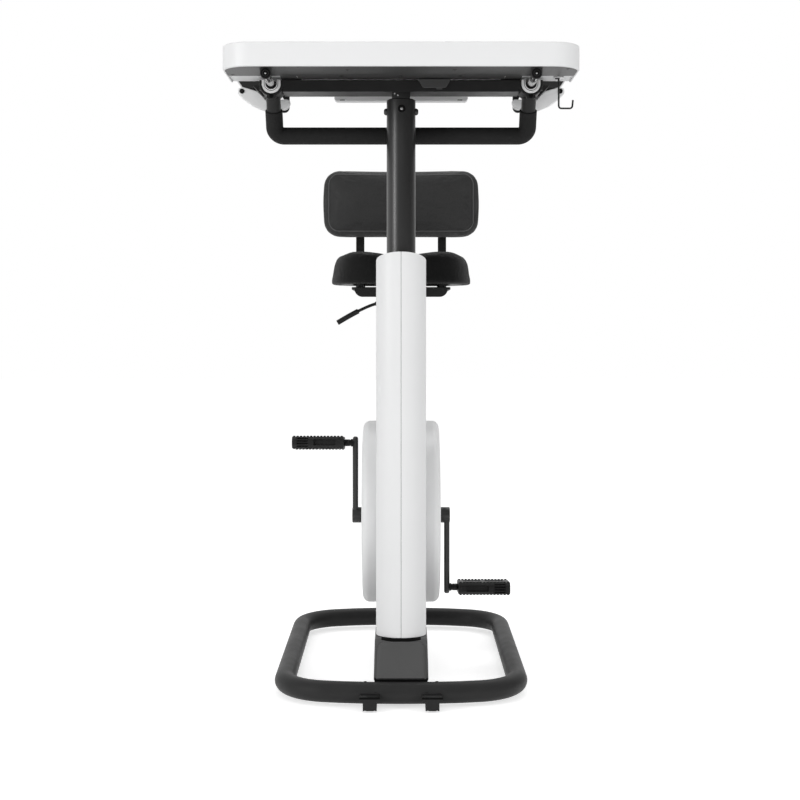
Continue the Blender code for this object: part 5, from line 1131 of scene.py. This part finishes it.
print("rod length:", round((end - start) * 1000), "mm")

# %% [markdown]
# ## Tray and bag hook
# Behind the beam hangs a shallow light tray, open towards the rider. Near the right corner a bent wire
# with a screwed pad carries a bag.

# %% Tray and hook
WALL = 0.0025
outline = rounded(oblong(tray_low.x, tray_low.z, tray_high.x, tray_high.z), [0.006, 0.006, 0, 0], 8)
outer = extruded("tray", outline, "Y", tray_low.y, tray_high.y)
hollow = oblong(tray_low.x + WALL, tray_low.z + WALL, tray_high.x - WALL, tray_high.z - WALL)
hollow = rounded(hollow, [0.0035, 0.0035, 0.001, 0.001], 8)
tray = carved(outer, extruded("tray_hollow", hollow, "Y", tray_low.y + WALL, 0.2))
dressed(eased(tray, 0.0005, 2), lever_plastic, "desk", "underside_tray")
# The slots at the tray's front are not cut: near-black patches paint the shade inside them.
for side, sign in SIDES:
    slot = rounded(oblong(sign * 0.1147, 1.1470, sign * 0.1247, 1.1486), 0.0006, 4)
    slab(f"tray_slot_{side}", slot, "Y", tray_low.y - 0.0002, tray_low.y + 0.0010, None, black_and_painted_shade, "desk")

hook_low, hook_high = box("bag_hook")
WIRE, PAD, PAD_SHEET = 0.0017, 0.018, 0.003
hook_x, hook_y = hook_low.x + PAD / 2, (hook_low.y + hook_high.y) / 2
foot, lip_x = hook_low.z + WIRE, hook_high.x - WIRE
bent = [(hook_x, hook_high.z - 0.0015), (hook_x, foot), (lip_x - 0.0015, foot), (lip_x, foot + 0.0155)]
bent = [(x, hook_y, z) for x, z in rounded(bent, [0, 0.005, 0.005, 0], 10)]
tube("hook_wire", spaced(bent, 0.004), WIRE, 20, zinc, "desk", "bag_hook")
square = rounded(oblong(hook_x - PAD / 2, hook_y - PAD / 2, hook_x + PAD / 2, hook_y + PAD / 2), 0.003, 6)
slab("hook_pad", square, "Z", hook_high.z - PAD_SHEET, hook_high.z, (0.0005, 2), bright_zinc, "desk")
places = [(hook_x - 0.004, hook_y, hook_high.z - PAD_SHEET)]
screws("hook_screw", places, DOWN, 0.0034, 0.0018, zinc, "desk")
print("hook drop:", round((hook_high.z - hook_low.z) * 1000), "mm")

# %% [markdown]
# ## Side levers
# A long white lever hangs at each side of the beam, on a bracket behind it. It is a flat moulding with a
# rounded rim. The same outline serves both sides, mirrored.

# %% Levers and brackets
LEVER_X, LEVER_Z = ROD_SPREAD + 0.066, ROD_Z + 0.0025
lever_line = [(0.002, 0.0085), (-0.008, 0.0055), (-0.0085, -0.004), (0.000, -0.0135), (0.020, -0.028)]
lever_line += [(0.042, -0.0375), (0.089, -0.035), (0.097, -0.0145), (0.048, -0.0185), (0.034, -0.001)]
lever_line = rounded(lever_line, [0.004, 0.004, 0.006, 0.010, 0.010, 0.014, 0.009, 0.007, 0.006, 0.006])
web = [(0.2835, 1.1480), (0.2620, 1.1480), (0.2585, 1.1280), (0.2635, 1.1265)]
for side, sign in SIDES:
    low, high = box(f"side_lever_{side}")
    outline = [(sign * (LEVER_X - a), LEVER_Z + b) for a, b in lever_line]
    slab(f"lever_moulding_{side}", outline, "Y", low.y, high.y, (0.0022, 4, 40), lever_plastic,
         f"lever_{side}", f"side_lever_{side}")
    copied(f"lever_bracket_{side}", f"lever_angle_{side}", (0.0006, 2), black_paint, "mast")
    slab(f"lever_web_{side}", sided(web, sign), "Y", beam_high.y + 0.0005, low.y - 0.0006, (0.0008, 2),
         black_paint, "mast")
    spot = Vector((sign * LEVER_X, low.y, LEVER_Z))
    screws(f"lever_bolt_{side}", [spot], TO_FRONT, 0.0048, 0.0026, black_and_painted_shade, f"lever_{side}",
           slot="black_paint")
    spot.y -= 0.0012
    screws(f"lever_bolt_centre_{side}", [spot], TO_FRONT, 0.0019, 0.0008, bright_zinc, f"lever_{side}")
print("lever points:", len(lever_line))

# %% [markdown]
# ## Height release paddle
# A flat black paddle in front of the beam frees the mast's gas spring. Its blade narrows downwards, with a
# bevel all round and a small tab below.

# %% Paddle
blade_low, blade_high = box("release_paddle")
PADDLE_X = (blade_low.x + blade_high.x) / 2
front, foot, top = blade_low.y, blade_low.z, blade_high.z
blade = symmetric([(0.0315, top), (0.0212, foot)])
blade = sided(rounded(blade, [0.002, 0.004, 0.004, 0.002], 8), 1, PADDLE_X)
# The blade and tab are black parts whose mid-grey plastic is painted light.
slab("paddle_blade", blade, "Y", front, front + 0.003, (0.0011,), paddle_painted_light, "paddle", "release_paddle")
tab = [(0.003, foot + 0.001), (0.0155, foot + 0.001), (0.0145, foot - 0.0028), (0.004, foot - 0.0028)]
tab = sided(rounded(tab, [0, 0, 0.001, 0.001], 4), 1, PADDLE_X)
slab("paddle_tab", tab, "Y", front + 0.0006, front + 0.0026, (0.0004, 2), paddle_painted_light, "paddle")
barrel = symmetric([(-0.019, 0), (-0.019, 0.0034), (-0.0184, 0.004)])
lathed("paddle_barrel", barrel, "X", (PADDLE_X, front + 0.004, top - 0.0049), 40, black_plastic, "paddle")
print("paddle:", round((blade_high.x - blade_low.x) * 1000), "mm wide")

# %% [markdown]
# ## Drive housing
# Two round white mouldings close round the drive. Each is turned: a flat side, a large round to the rim,
# and the seam in the middle. The bore for the crank lies a little below the middle, because the belt and
# flywheel need more room above, so it is cut after turning, like the slot for the drive's foot.

# %% Housing halves
def middle_of(node):
    """The middle of a CAD node in the bike's middle plane."""
    low, high = box(node)
    return Vector((0, (low.y + high.y) / 2, (low.z + high.z) / 2))


house_low, house_high = box("housing_right")
HOUSE_RADIUS, HOUSE_HALF = (house_high.z - house_low.z) / 2, house_high.x
HOUSE_ROUND, HOUSE_WALL, SEAM = 0.014, 0.003, 0.00015
HOUSE_CENTRE, CRANK_AXIS = middle_of("housing_right"), middle_of("crank_axle")


def house_line(wall):
    """The profile of a half from its seam to its middle, this far inside the skin."""
    corner = (HOUSE_HALF - HOUSE_ROUND, HOUSE_RADIUS - HOUSE_ROUND)
    round_part = arc(corner, HOUSE_ROUND - wall, 90, 0, 18)
    return [(SEAM, HOUSE_RADIUS - wall), *round_part, (HOUSE_HALF - wall, 0.06), (HOUSE_HALF - wall, 0)]


profile = [(SEAM, HOUSE_RADIUS - 0.0006), (SEAM + 0.0006, HOUSE_RADIUS)]
profile += house_line(0)[1:] + house_line(HOUSE_WALL)[::-1]
for side, sign in SIDES:
    half_shell = turned(f"housing_{side}_half", sided(profile, sign), "X", HOUSE_CENTRE, 160)
    bore = turned("bore", [(-0.2, 0), (-0.2, 0.013), (0.2, 0.013), (0.2, 0)], "X", CRANK_AXIS, 64)
    slot = extruded("slot", oblong(-0.090, 0.042, 0.060, 0.200), "X", -0.0055, 0.0055)
    dressed(carved(half_shell, bore, slot), white_shell, "base", f"housing_{side}")
print("housing:", round(HOUSE_RADIUS * 2000), "mm across,", round(HOUSE_HALF * 2000), "mm wide")

# %% [markdown]
# ## Cranks
# The left crank stands up and the right one hangs down. Each arm is a flat forging with rounded edges
# between a hub on the axle and a boss for the pedal's spindle.

# %% Crank arms, hubs, spindles
CRANK_LENGTH = 0.148
HUB_IN, HUB_OUT = HOUSE_HALF + 0.004, HOUSE_HALF + 0.023
ARM_IN, ARM_OUT = 0.0882, 0.0992
hub = [(HUB_IN, 0.0101), (HUB_IN, 0.0142), (HUB_IN + 0.0006, 0.0155), (HUB_IN + 0.002, 0.016)]
hub += [(HUB_OUT - 0.002, 0.016), (HUB_OUT - 0.0006, 0.0155), (HUB_OUT, 0.0142), (HUB_OUT, 0.0101)]
spindle = [(0.0927, 0), (0.0927, 0.0078), (0.1025, 0.0078), (0.1035, 0.0070), (0.1035, 0.0062)]
spindle += [(0.1050, 0.0062), (0.1050, 0.0070), (0.1148, 0.0070), (0.1154, 0.006), (0.2164, 0.006)]
spindle += [(0.2169, 0.0054), (0.2169, 0)]
for side, sign in SIDES:
    tip, low_turn, high_turn = CRANK_AXIS.z - sign * CRANK_LENGTH, 90 - 90 * sign, 90 + 90 * sign
    arm = arc((CRANK_AXIS.y, CRANK_AXIS.z), 0.012, low_turn, low_turn + 180, 24)
    arm += arc((CRANK_AXIS.y, tip), 0.013, high_turn, high_turn + 180, 24)
    slab(f"crank_{side}_arm", arm, "X", sign * ARM_IN, sign * ARM_OUT, (0.0042, 5, 40), lit_black_paint, "crank",
         f"crank_arm_{side}")
    lathed(f"crank_{side}_hub", sided(hub, sign), "X", CRANK_AXIS, 64, lit_black_paint, "crank")
    place = (0, CRANK_AXIS.y, tip)
    lathed(f"crank_{side}_spindle", sided(spindle, sign), "X", place, 48, black_paint, "crank")
print("crank:", round(CRANK_LENGTH * 1000), "mm")

# %% [markdown]
# ## Pedals
# A pedal is a moulded cage round its spindle. Its front and rear faces have a long recess and four slots
# near the outer end, windows open it from above, and rows of teeth along the treads grip the shoe. It hangs
# at a slight angle, as pedals do at rest.

# %% Pedal cages
PEDAL_TILT = math.radians(6)
PEDAL_HALF = Vector((0.05225, 0.046, 0.0135))
PEDAL_INNER, TREAD_Y = 0.1164, 0.0375
TOOTH, TEETH = 0.0018, 15
SLOTS = [((0.020, 0.043), level, 0.0013, 0.0365) for level in (-0.0078, -0.0026, 0.0026, 0.0078)]
SLOTS.append(((-0.036, 0.0085), 0, 0.0062, 0.0385))


def pedal_cage(side, sign):
    """The cage, in its own level place: x from the crank outwards, y along the foot, z up."""
    a, b, chamfer = PEDAL_HALF.y, PEDAL_HALF.z - TOOTH, 0.0062
    outline = [(-a, chamfer - b), (chamfer - a, -b), (a - chamfer, -b), (a, chamfer - b)]
    outline += [(a, b - chamfer), (a - chamfer, b), (chamfer - a, b), (-a, b - chamfer)]
    cage = extruded(f"pedal_{side}_cage", rounded(outline, 0.0025, 5), "X", -PEDAL_HALF.x, PEDAL_HALF.x)
    cutters = []
    for near, far in ((-0.034, -0.011), (0.011, 0.034)):
        for first, last in ((-0.041, -0.004), (0.004, 0.041)):
            window = rounded(oblong(first, near, last, far), 0.003, 5)
            cutters.append(extruded("window", window, "Z", -0.03, 0.03))
    for (near, far), level, tall, deep in SLOTS:
        slot = sided(rounded(oblong(near, level - tall, far, level + tall), 0.0009, 3), sign)
        cutters += [extruded("slot", slot, "Y", *ends) for ends in ((-0.060, -deep), (deep, 0.060))]
    start, end = -PEDAL_HALF.x - 0.01, PEDAL_HALF.x - 0.003
    bore = sided([(start, 0), (start, 0.0065), (end, 0.0065), (end, 0)], sign)
    return carved(cage, *cutters, turned("bore", bore, "X", (0, 0, 0), 40))


def pedal_teeth(name, y, up):
    """A row of teeth along a tread, standing up or down from the cage."""
    reach, top = PEDAL_HALF.x - 0.0008, PEDAL_HALF.z
    pitch = 2 * reach / TEETH
    comb = [(reach, top - TOOTH - 0.001), (-reach, top - TOOTH - 0.001)]
    for tooth in range(TEETH):
        for share, z in ((0.12, top - TOOTH), (0.22, top), (0.78, top), (0.88, top - TOOTH)):
            comb.append(((tooth + share) * pitch - reach, z))
    return extruded(name, [(x, up * z) for x, z in comb], "Y", y - 0.0016, y + 0.0016)


for side, sign in SIDES:
    place = (sign * (PEDAL_INNER + PEDAL_HALF.x), CRANK_AXIS.y, CRANK_AXIS.z - sign * CRANK_LENGTH)
    hang = Matrix.Translation(place) @ Matrix.Rotation(-PEDAL_TILT, 4, "X")
    cage = pedal_cage(side, sign)
    cage.data.transform(hang)
    dressed(eased(cage, 0.0005, 2), black_plastic, f"{side}_pedal", f"pedal_{side}")
    for row, (y, up) in enumerate(((-TREAD_Y, 1), (TREAD_Y, 1), (-TREAD_Y, -1), (TREAD_Y, -1))):
        teeth = pedal_teeth(f"pedal_{side}_teeth_{row}", y, up)
        teeth.data.transform(hang)
        dressed(teeth, black_plastic, f"{side}_pedal")
print("pedal:", [round(v * 2000) for v in PEDAL_HALF], "mm")

# %% [markdown]
# ## Resistance knob
# The knob stands on the housing's rim, on the rider's side. Its grip has ribs, which are a turned body
# whose radius changes with the angle.

# %% Knob
KNOB_ANGLE = math.radians(62)
RIB, RIBS, RIB_FOOT, RIB_TOP = 0.0007, 24, 0.0045, 0.0215
knob_axis = Vector((0, math.cos(KNOB_ANGLE), math.sin(KNOB_ANGLE)))
knob_foot = HOUSE_CENTRE + knob_axis * (HOUSE_RADIUS + 0.0006)
across = Vector((1, 0, 0))
forward = knob_axis.cross(across)
profile = [(0.0006, 0.0150), (0.0012, 0.0196), (0.0040, 0.0202), (0.0045, 0.0212), (0.0060, 0.0218)]
profile += [(0.0170, 0.0214), (0.0195, 0.0208), (0.0215, 0.0196), (0.0228, 0.0176), (0.0234, 0.0150)]
profile += [(0.0238, 0.0110), (0.0234, 0.0100)]
loops = []
for height, radius in profile:
    loop = []
    for turn in (2 * math.pi * i / 144 for i in range(144)):
        rib = RIB * (0.5 + 0.5 * math.cos(RIBS * turn)) if RIB_FOOT <= height <= RIB_TOP else 0
        r = radius + rib - (RIB if rib else 0)
        loop.append(knob_foot + knob_axis * height + (across * math.cos(turn) + forward * math.sin(turn)) * r)
    loops.append(loop)
dressed(lofted("knob_grip", loops, 50), black_plastic, "knob", "resistance_knob")
print("knob at", [round(v, 3) for v in knob_foot])

# %% [markdown]
# ## Seat post
# The post is a steel tube on the spine, with a plastic collar in which the thinner column slides. The
# seat's plate sits on the column.

# %% Post, collar, column and plate
post_low, post_high = box("seat_post_tube")
column_low, column_high = box("seat_column")
POST_AXIS = (0, (post_low.y + post_high.y) / 2, 0)
profile = tube_profile(post_low.z, post_high.z, 0.0265, post_high.x)
lathed("seat_post", profile, "Z", POST_AXIS, 96, black_paint, "base", "seat_post_tube")
collar = [(-0.028, 0.0301), (-0.028, 0.0322), (-0.026, 0.0330), (-0.001, 0.0330), (0.0012, 0.0318)]
collar += [(0.002, 0.0300), (0.002, 0.0267), (0.0004, 0.0267), (0.0004, 0.0301)]
lathed("post_collar", sided(collar, 1, post_high.z), "Z", POST_AXIS, 96, black_plastic, "base")
foot, top, radius = column_low.z, column_high.z, column_high.x
column = [(foot, 0.0065), (foot, 0.0252), (foot + 0.0008, radius), (top - 0.0008, radius), (top, 0.0252)]
column.append((top, 0.0065))
lathed("sliding_column", column, "Z", POST_AXIS, 96, black_paint, "seat", "seat_column")
copied("seat_plate", "seat_mount", (0.0022,), black_paint, "seat")
print("post:", round(post_high.x * 2000), "mm, column:", round(column_high.x * 2000), "mm")

# %% [markdown]
# ## Yoke
# A folded plate under the seat carries two flat bars, which sweep up behind the backrest. Its front lip
# is what the photograph shows under the cushion.

# %% Yoke plate, lip and bars
yoke_low, yoke_high = box("backrest_yoke")
YOKE_TOP, YOKE_SHEET, YOKE_HALF = 0.7703, 0.0055, yoke_high.x
front, rise = yoke_low.y, yoke_high.z
plan = rounded(oblong(-YOKE_HALF, front, YOKE_HALF, front + 0.2), 0.012, 12)
slab("yoke_plate", plan, "Z", YOKE_TOP - YOKE_SHEET, YOKE_TOP, (0.001,), black_paint, "seat", "backrest_yoke")
LIP_HALF = YOKE_HALF - 0.006
lip = rounded(oblong(-LIP_HALF, yoke_low.z, LIP_HALF, YOKE_TOP - 0.002), [0.0175, 0.0175, 0, 0], 14)
slab("yoke_lip", lip, "Y", front + 0.0002, front + YOKE_SHEET, (0.0010,), black_paint, "seat")

BAR_SHEET, BAR_X, BAR_WIDTH, BAR_TURN = 0.0045, 0.096, 0.0195, 0.046
back, start = yoke_high.y, front + 0.17
low = YOKE_TOP - (YOKE_SHEET + BAR_SHEET) / 2
outer = rounded([(start, low), (back, low), (back, rise)], [0, BAR_TURN, 0], 24)
back, low = back - BAR_SHEET, low + BAR_SHEET
inner = rounded([(back, rise), (back, low), (start, low)], [0, BAR_TURN - BAR_SHEET, 0], 24)
for side, sign in SIDES:
    edge = sign * BAR_X - BAR_WIDTH / 2
    slab(f"yoke_bar_{side}", outer + inner, "X", edge, edge + BAR_WIDTH, (0.0011,), black_paint, "seat")
print("bars rise to", round(rise, 3))

# %% [markdown]
# ## Cushions
# Seat and backrest are foam in a fitted cover. Each starts as loops that follow the cushion's outline
# inwards over its top, slightly smaller than the real one. The skin is then remeshed evenly and blown up a
# little as cloth under pressure, with its base held, which gives the soft crown and the sides that pull
# in. A cap on the movement keeps every point within the space that the CAD cushion holds.

# %% Cloth under pressure
PRESSURE, MOST_MOVE, SKIN_STEP, CLOTH_FRAMES = 3.0, 0.0025, 0.004, 20


def plumped(piece, held):
    """The piece as an inflated cover. Points where held(point) is true stay where they are."""
    remesh = piece.modifiers.new("even_skin", "REMESH")
    remesh.mode = "VOXEL"
    remesh.voxel_size = SKIN_STEP
    applied(piece)
    start = [v.co.copy() for v in piece.data.vertices]
    group = piece.vertex_groups.new(name="held")
    group.add([i for i, point in enumerate(start) if held(point)], 1.0, "REPLACE")
    cloth = piece.modifiers.new("cover", "CLOTH")
    cloth.settings.use_pressure = True
    cloth.settings.uniform_pressure_force = PRESSURE
    cloth.settings.effector_weights.gravity = 0
    cloth.settings.vertex_group_mass = "held"
    cloth.point_cache.frame_start, cloth.point_cache.frame_end = 1, CLOTH_FRAMES
    for step in range(1, CLOTH_FRAMES + 1):
        bpy.context.scene.frame_set(step)
    applied(piece)
    bpy.context.scene.frame_set(1)
    piece.vertex_groups.clear()
    for vertex, before in zip(piece.data.vertices, start):
        move = vertex.co - before
        if move.length > MOST_MOVE:
            vertex.co = before + move * (MOST_MOVE / move.length)
    piece.data.shade_smooth()
    finer = piece.modifiers.new("finer_skin", "SUBSURF")
    finer.levels = finer.render_levels = 1
    return piece


# %% [markdown]
# The seat widens towards the rear and rises at its sides, with a dip along the middle. It is widest at
# its bottom edge, where the cover is pulled round the board. The board is a thin moulding with four
# blocks that stand on the yoke.

# %% Seat cushion and pan
seat_low, seat_high = box("seat_cushion")
SEAT_HALF, SEAT_LENGTH, SEAT_BASE = seat_high.x, seat_high.y - seat_low.y, seat_low.z
SEAT_MIDDLE = (seat_low.y + seat_high.y) / 2
SEAT_CROWN, SEAT_SHRINK, SEAT_PROUD = 0.061, 0.001, 0.002


def seat_outline(inset, count=96):
    """The seat's plan, a soft rounded form that is wider at the rear."""
    points = []
    for turn in (2 * math.pi * i / count for i in range(count)):
        c, s = math.cos(turn), math.sin(turn)
        x = math.copysign(abs(c) ** 0.625, c) * (SEAT_HALF - inset)
        y = math.copysign(abs(s) ** 0.625, s) * (SEAT_LENGTH / 2 - inset)
        widen = 0.84 + 0.16 * min(1, (y + SEAT_LENGTH / 2) / SEAT_LENGTH * 1.6)
        points.append((x * widen, SEAT_MIDDLE + y))
    return points


def seat_height(x, y):
    """The height of the top surface."""
    across = min(1, abs(x) / SEAT_HALF)
    back = (y - seat_low.y) / SEAT_LENGTH
    dip = 0.009 * math.exp(-((across / 0.42) ** 2))
    sides = 0.005 * max(0, math.sin(math.pi * across)) ** 0.8
    rear = 0.008 * max(0, back - 0.55) / 0.45
    return SEAT_BASE + SEAT_CROWN - dip + sides + rear * (1 - across**4)


levels = [(0.110, -0.055, 0), (0.060, -0.055, 0), (0.014, -0.055, 0), (0.003, -0.050, 0), (0, 0.015, 0)]
levels += [(0.0012, 0.18, 0), (0.0034, 0.36, 0), (0.0064, 0.60, 0.1), (0.0098, 0.80, 0.4)]
levels += [(0.0165, 0.95, 0.8), *[(inset, 1, 1) for inset in (0.032, 0.056, 0.082, 0.108)]]
loops = []
for inset, share, shaped in levels:
    plain = SEAT_BASE + (SEAT_CROWN - SEAT_SHRINK) * share
    outline = seat_outline(inset - SEAT_PROUD)
    loops.append([(x, y, plain + (seat_height(x, y) - SEAT_SHRINK - plain) * shaped) for x, y in outline])
seat_pad = plumped(lofted("seat_pad", loops), lambda p: p.z < SEAT_BASE + 0.008)
dressed(seat_pad, seat_cover, "seat", "seat_cushion")

pan_low, pan_high = box("seat_pan")
top = pan_high.z
slab("seat_tub", seat_outline(0.018), "Z", top - 0.0036, top, (0.0012,), black_plastic, "seat", "seat_pan")
for side, sign in SIDES:
    for end, y in (("front", 0.118), ("rear", 0.282)):
        block = sided(rounded(oblong(-0.0065, y - 0.011, 0.0065, y + 0.011), 0.0025, 5), 1, sign * 0.0875)
        slab(f"seat_block_{end}_{side}", block, "Z", pan_low.z, top - 0.003, (0.0006, 2), black_plastic,
             "seat")
print("seat pad:", [round((b - a) * 1000) for a, b in zip(seat_low, seat_high)], "mm")

# %% [markdown]
# The backrest is a rounded board with a low crown and a firm edge. A moulded shell closes it from behind
# and carries the screws of the bars.

# %% Backrest cushion and shell
back_low, back_high = box("backrest_cushion")
BACK_RIM, BACK_DIP, BACK_CORNER, BACK_SHRINK = 0.038, 0.0022, 0.0345, -0.0006
BACK_MIDDLE, BACK_HALF_HEIGHT = (back_low.z + back_high.z) / 2, (back_high.z - back_low.z) / 2
SEAM_INSET, SEAM_RAISED = 0.0118, 1.052


def back_outline(inset, spans=16):
    """The backrest's outline, with its long edges split so that the crown can bend them."""
    half, low, high = back_high.x - inset, back_low.z + inset, back_high.z - inset
    bent = rounded(oblong(-half, low, half, high), max(0.004, BACK_CORNER - inset), 12)
    points = []
    for (x, z), (next_x, _) in zip(bent, bent[1:] + bent[:1]):
        points.append((x, z))
        for k in range(1, spans if abs(next_x - x) > 0.1 else 1):
            dip = BACK_DIP * math.sin(math.pi * k / spans) if z > BACK_MIDDLE else 0
            points.append((x + (next_x - x) * k / spans, z - dip))
    return points


def back_crown(x, z):
    across = min(1, abs(x) / back_high.x)
    up = min(1, abs(z - BACK_MIDDLE) / BACK_HALF_HEIGHT)
    return 0.010 * (1 - across**3) * (1 - up**2.4)


layers = [(0.050, 0, 0), (0.024, 0, 0), (0.010, 0, 0), (0.003, 0.002, 0), (0.0005, 0.009, 0), (0, 0.018, 0)]
layers += [(0.0005, 0.025, 0), (0.004, 0.031, 0), (0.010, 0.036, 0.3), (0.014, BACK_RIM, 0.7)]
layers += [(inset, BACK_RIM, 1) for inset in (0.022, 0.038, 0.054, 0.068)]
loops = []
for inset, depth, shaped in layers:
    plain = back_high.y - depth * (1 - BACK_SHRINK / BACK_RIM)
    outline = back_outline(inset + BACK_SHRINK)
    loops.append([(x, plain - back_crown(x, z) * shaped, z) for x, z in outline])
back_pad = plumped(lofted("backrest_pad", loops), lambda p: p.y > back_high.y - 0.008)
dressed(back_pad, back_cover, "seat", "backrest_cushion")

# A welt in the paler thread runs round the front face, inset from the edge, as a painted highlight of that
# edge.
surface = back_pad.evaluated_get(bpy.context.evaluated_depsgraph_get())
front = []
for x, z in back_outline(SEAM_INSET):
    z = BACK_MIDDLE + (z - BACK_MIDDLE) * (SEAM_RAISED if z > BACK_MIDDLE else 1)
    hit, spot, _, _ = surface.ray_cast((x, 0.2, z), (0, 1, 0))
    front.append(Vector((x, spot.y if hit else back_low.y + 0.010, z)))
tube("backrest_welt", spaced(front, 0.006, True), 0.0011, 10, welt_highlight, "seat", closed=True)

low, high = box("backrest_shell")
slab("backrest_tub", back_outline(0.008), "Y", low.y, high.y, (0.0025, 4), black_plastic, "seat",
     "backrest_shell")
print("backrest:", [round((b - a) * 1000) for a, b in zip(back_low, back_high)], "mm")

# %% [markdown]
# ## Seat lever
# A bent rod with a plastic grip, on the left of the seat's plate, frees the seat's gas spring.

# %% Rod, grip and hub
low, high = box("seat_lever")
pivot = Vector((high.x - 0.005, (low.y + high.y) / 2, 0.7357))
LEVER_REACH, LEVER_DROP = 0.0858, 0.0419
line = [pivot - Vector((LEVER_REACH * i / 32, 0, LEVER_DROP * (i / 32) ** 1.26)) for i in range(33)]
tube("seat_lever_rod", line[:20], 0.0033, 24, black_plastic, "seat_handle", "seat_lever", slot="black_paint")
held_part = line[15:]
shares = [0.72, 0.86, 0.90, *[0.90 + 0.012 * k for k in range(len(held_part) - 6)], 0.98, 0.86, 0.58]
tube("seat_lever_grip", held_part, 0.0056, 28, black_plastic, "seat_handle", shares=shares)
hub = symmetric([(-0.008, 0), (-0.008, 0.0044), (-0.0073, 0.005)])
lathed("seat_lever_hub", hub, "Y", pivot, 32, black_paint, "seat_handle")
print("seat lever tip:", [round(v, 3) for v in line[-1]])

# %% [markdown]
# ## Carried-over nodes
# What hides inside the shells keeps its CAD mesh and only gets a finish: the outer tube, the gas springs
# and the whole drive.

# %% Finishes for the inner parts
inner_finishes = {
    "mast_outer_tube": black_paint, "mast_gas_rod": chrome, "mast_gas_cylinder": steel,
    "drive_frame": black_paint, "drive_belt": rubber, "seat_gas_rod": chrome, "crank_axle": steel,
    "drive_pulley": black_plastic, "flywheel": iron, "magnet_arm": black_paint,
}
for name, finish in inner_finishes.items():
    nodes[name].data.materials.clear()
    nodes[name].data.materials.append(finish.material)
print("inner parts:", len(inner_finishes))

# %% [markdown]
# ## View
# Colours are shown as they are, so the view transform is Standard.

# %% Finish
bpy.context.scene.view_settings.view_transform = "Standard"
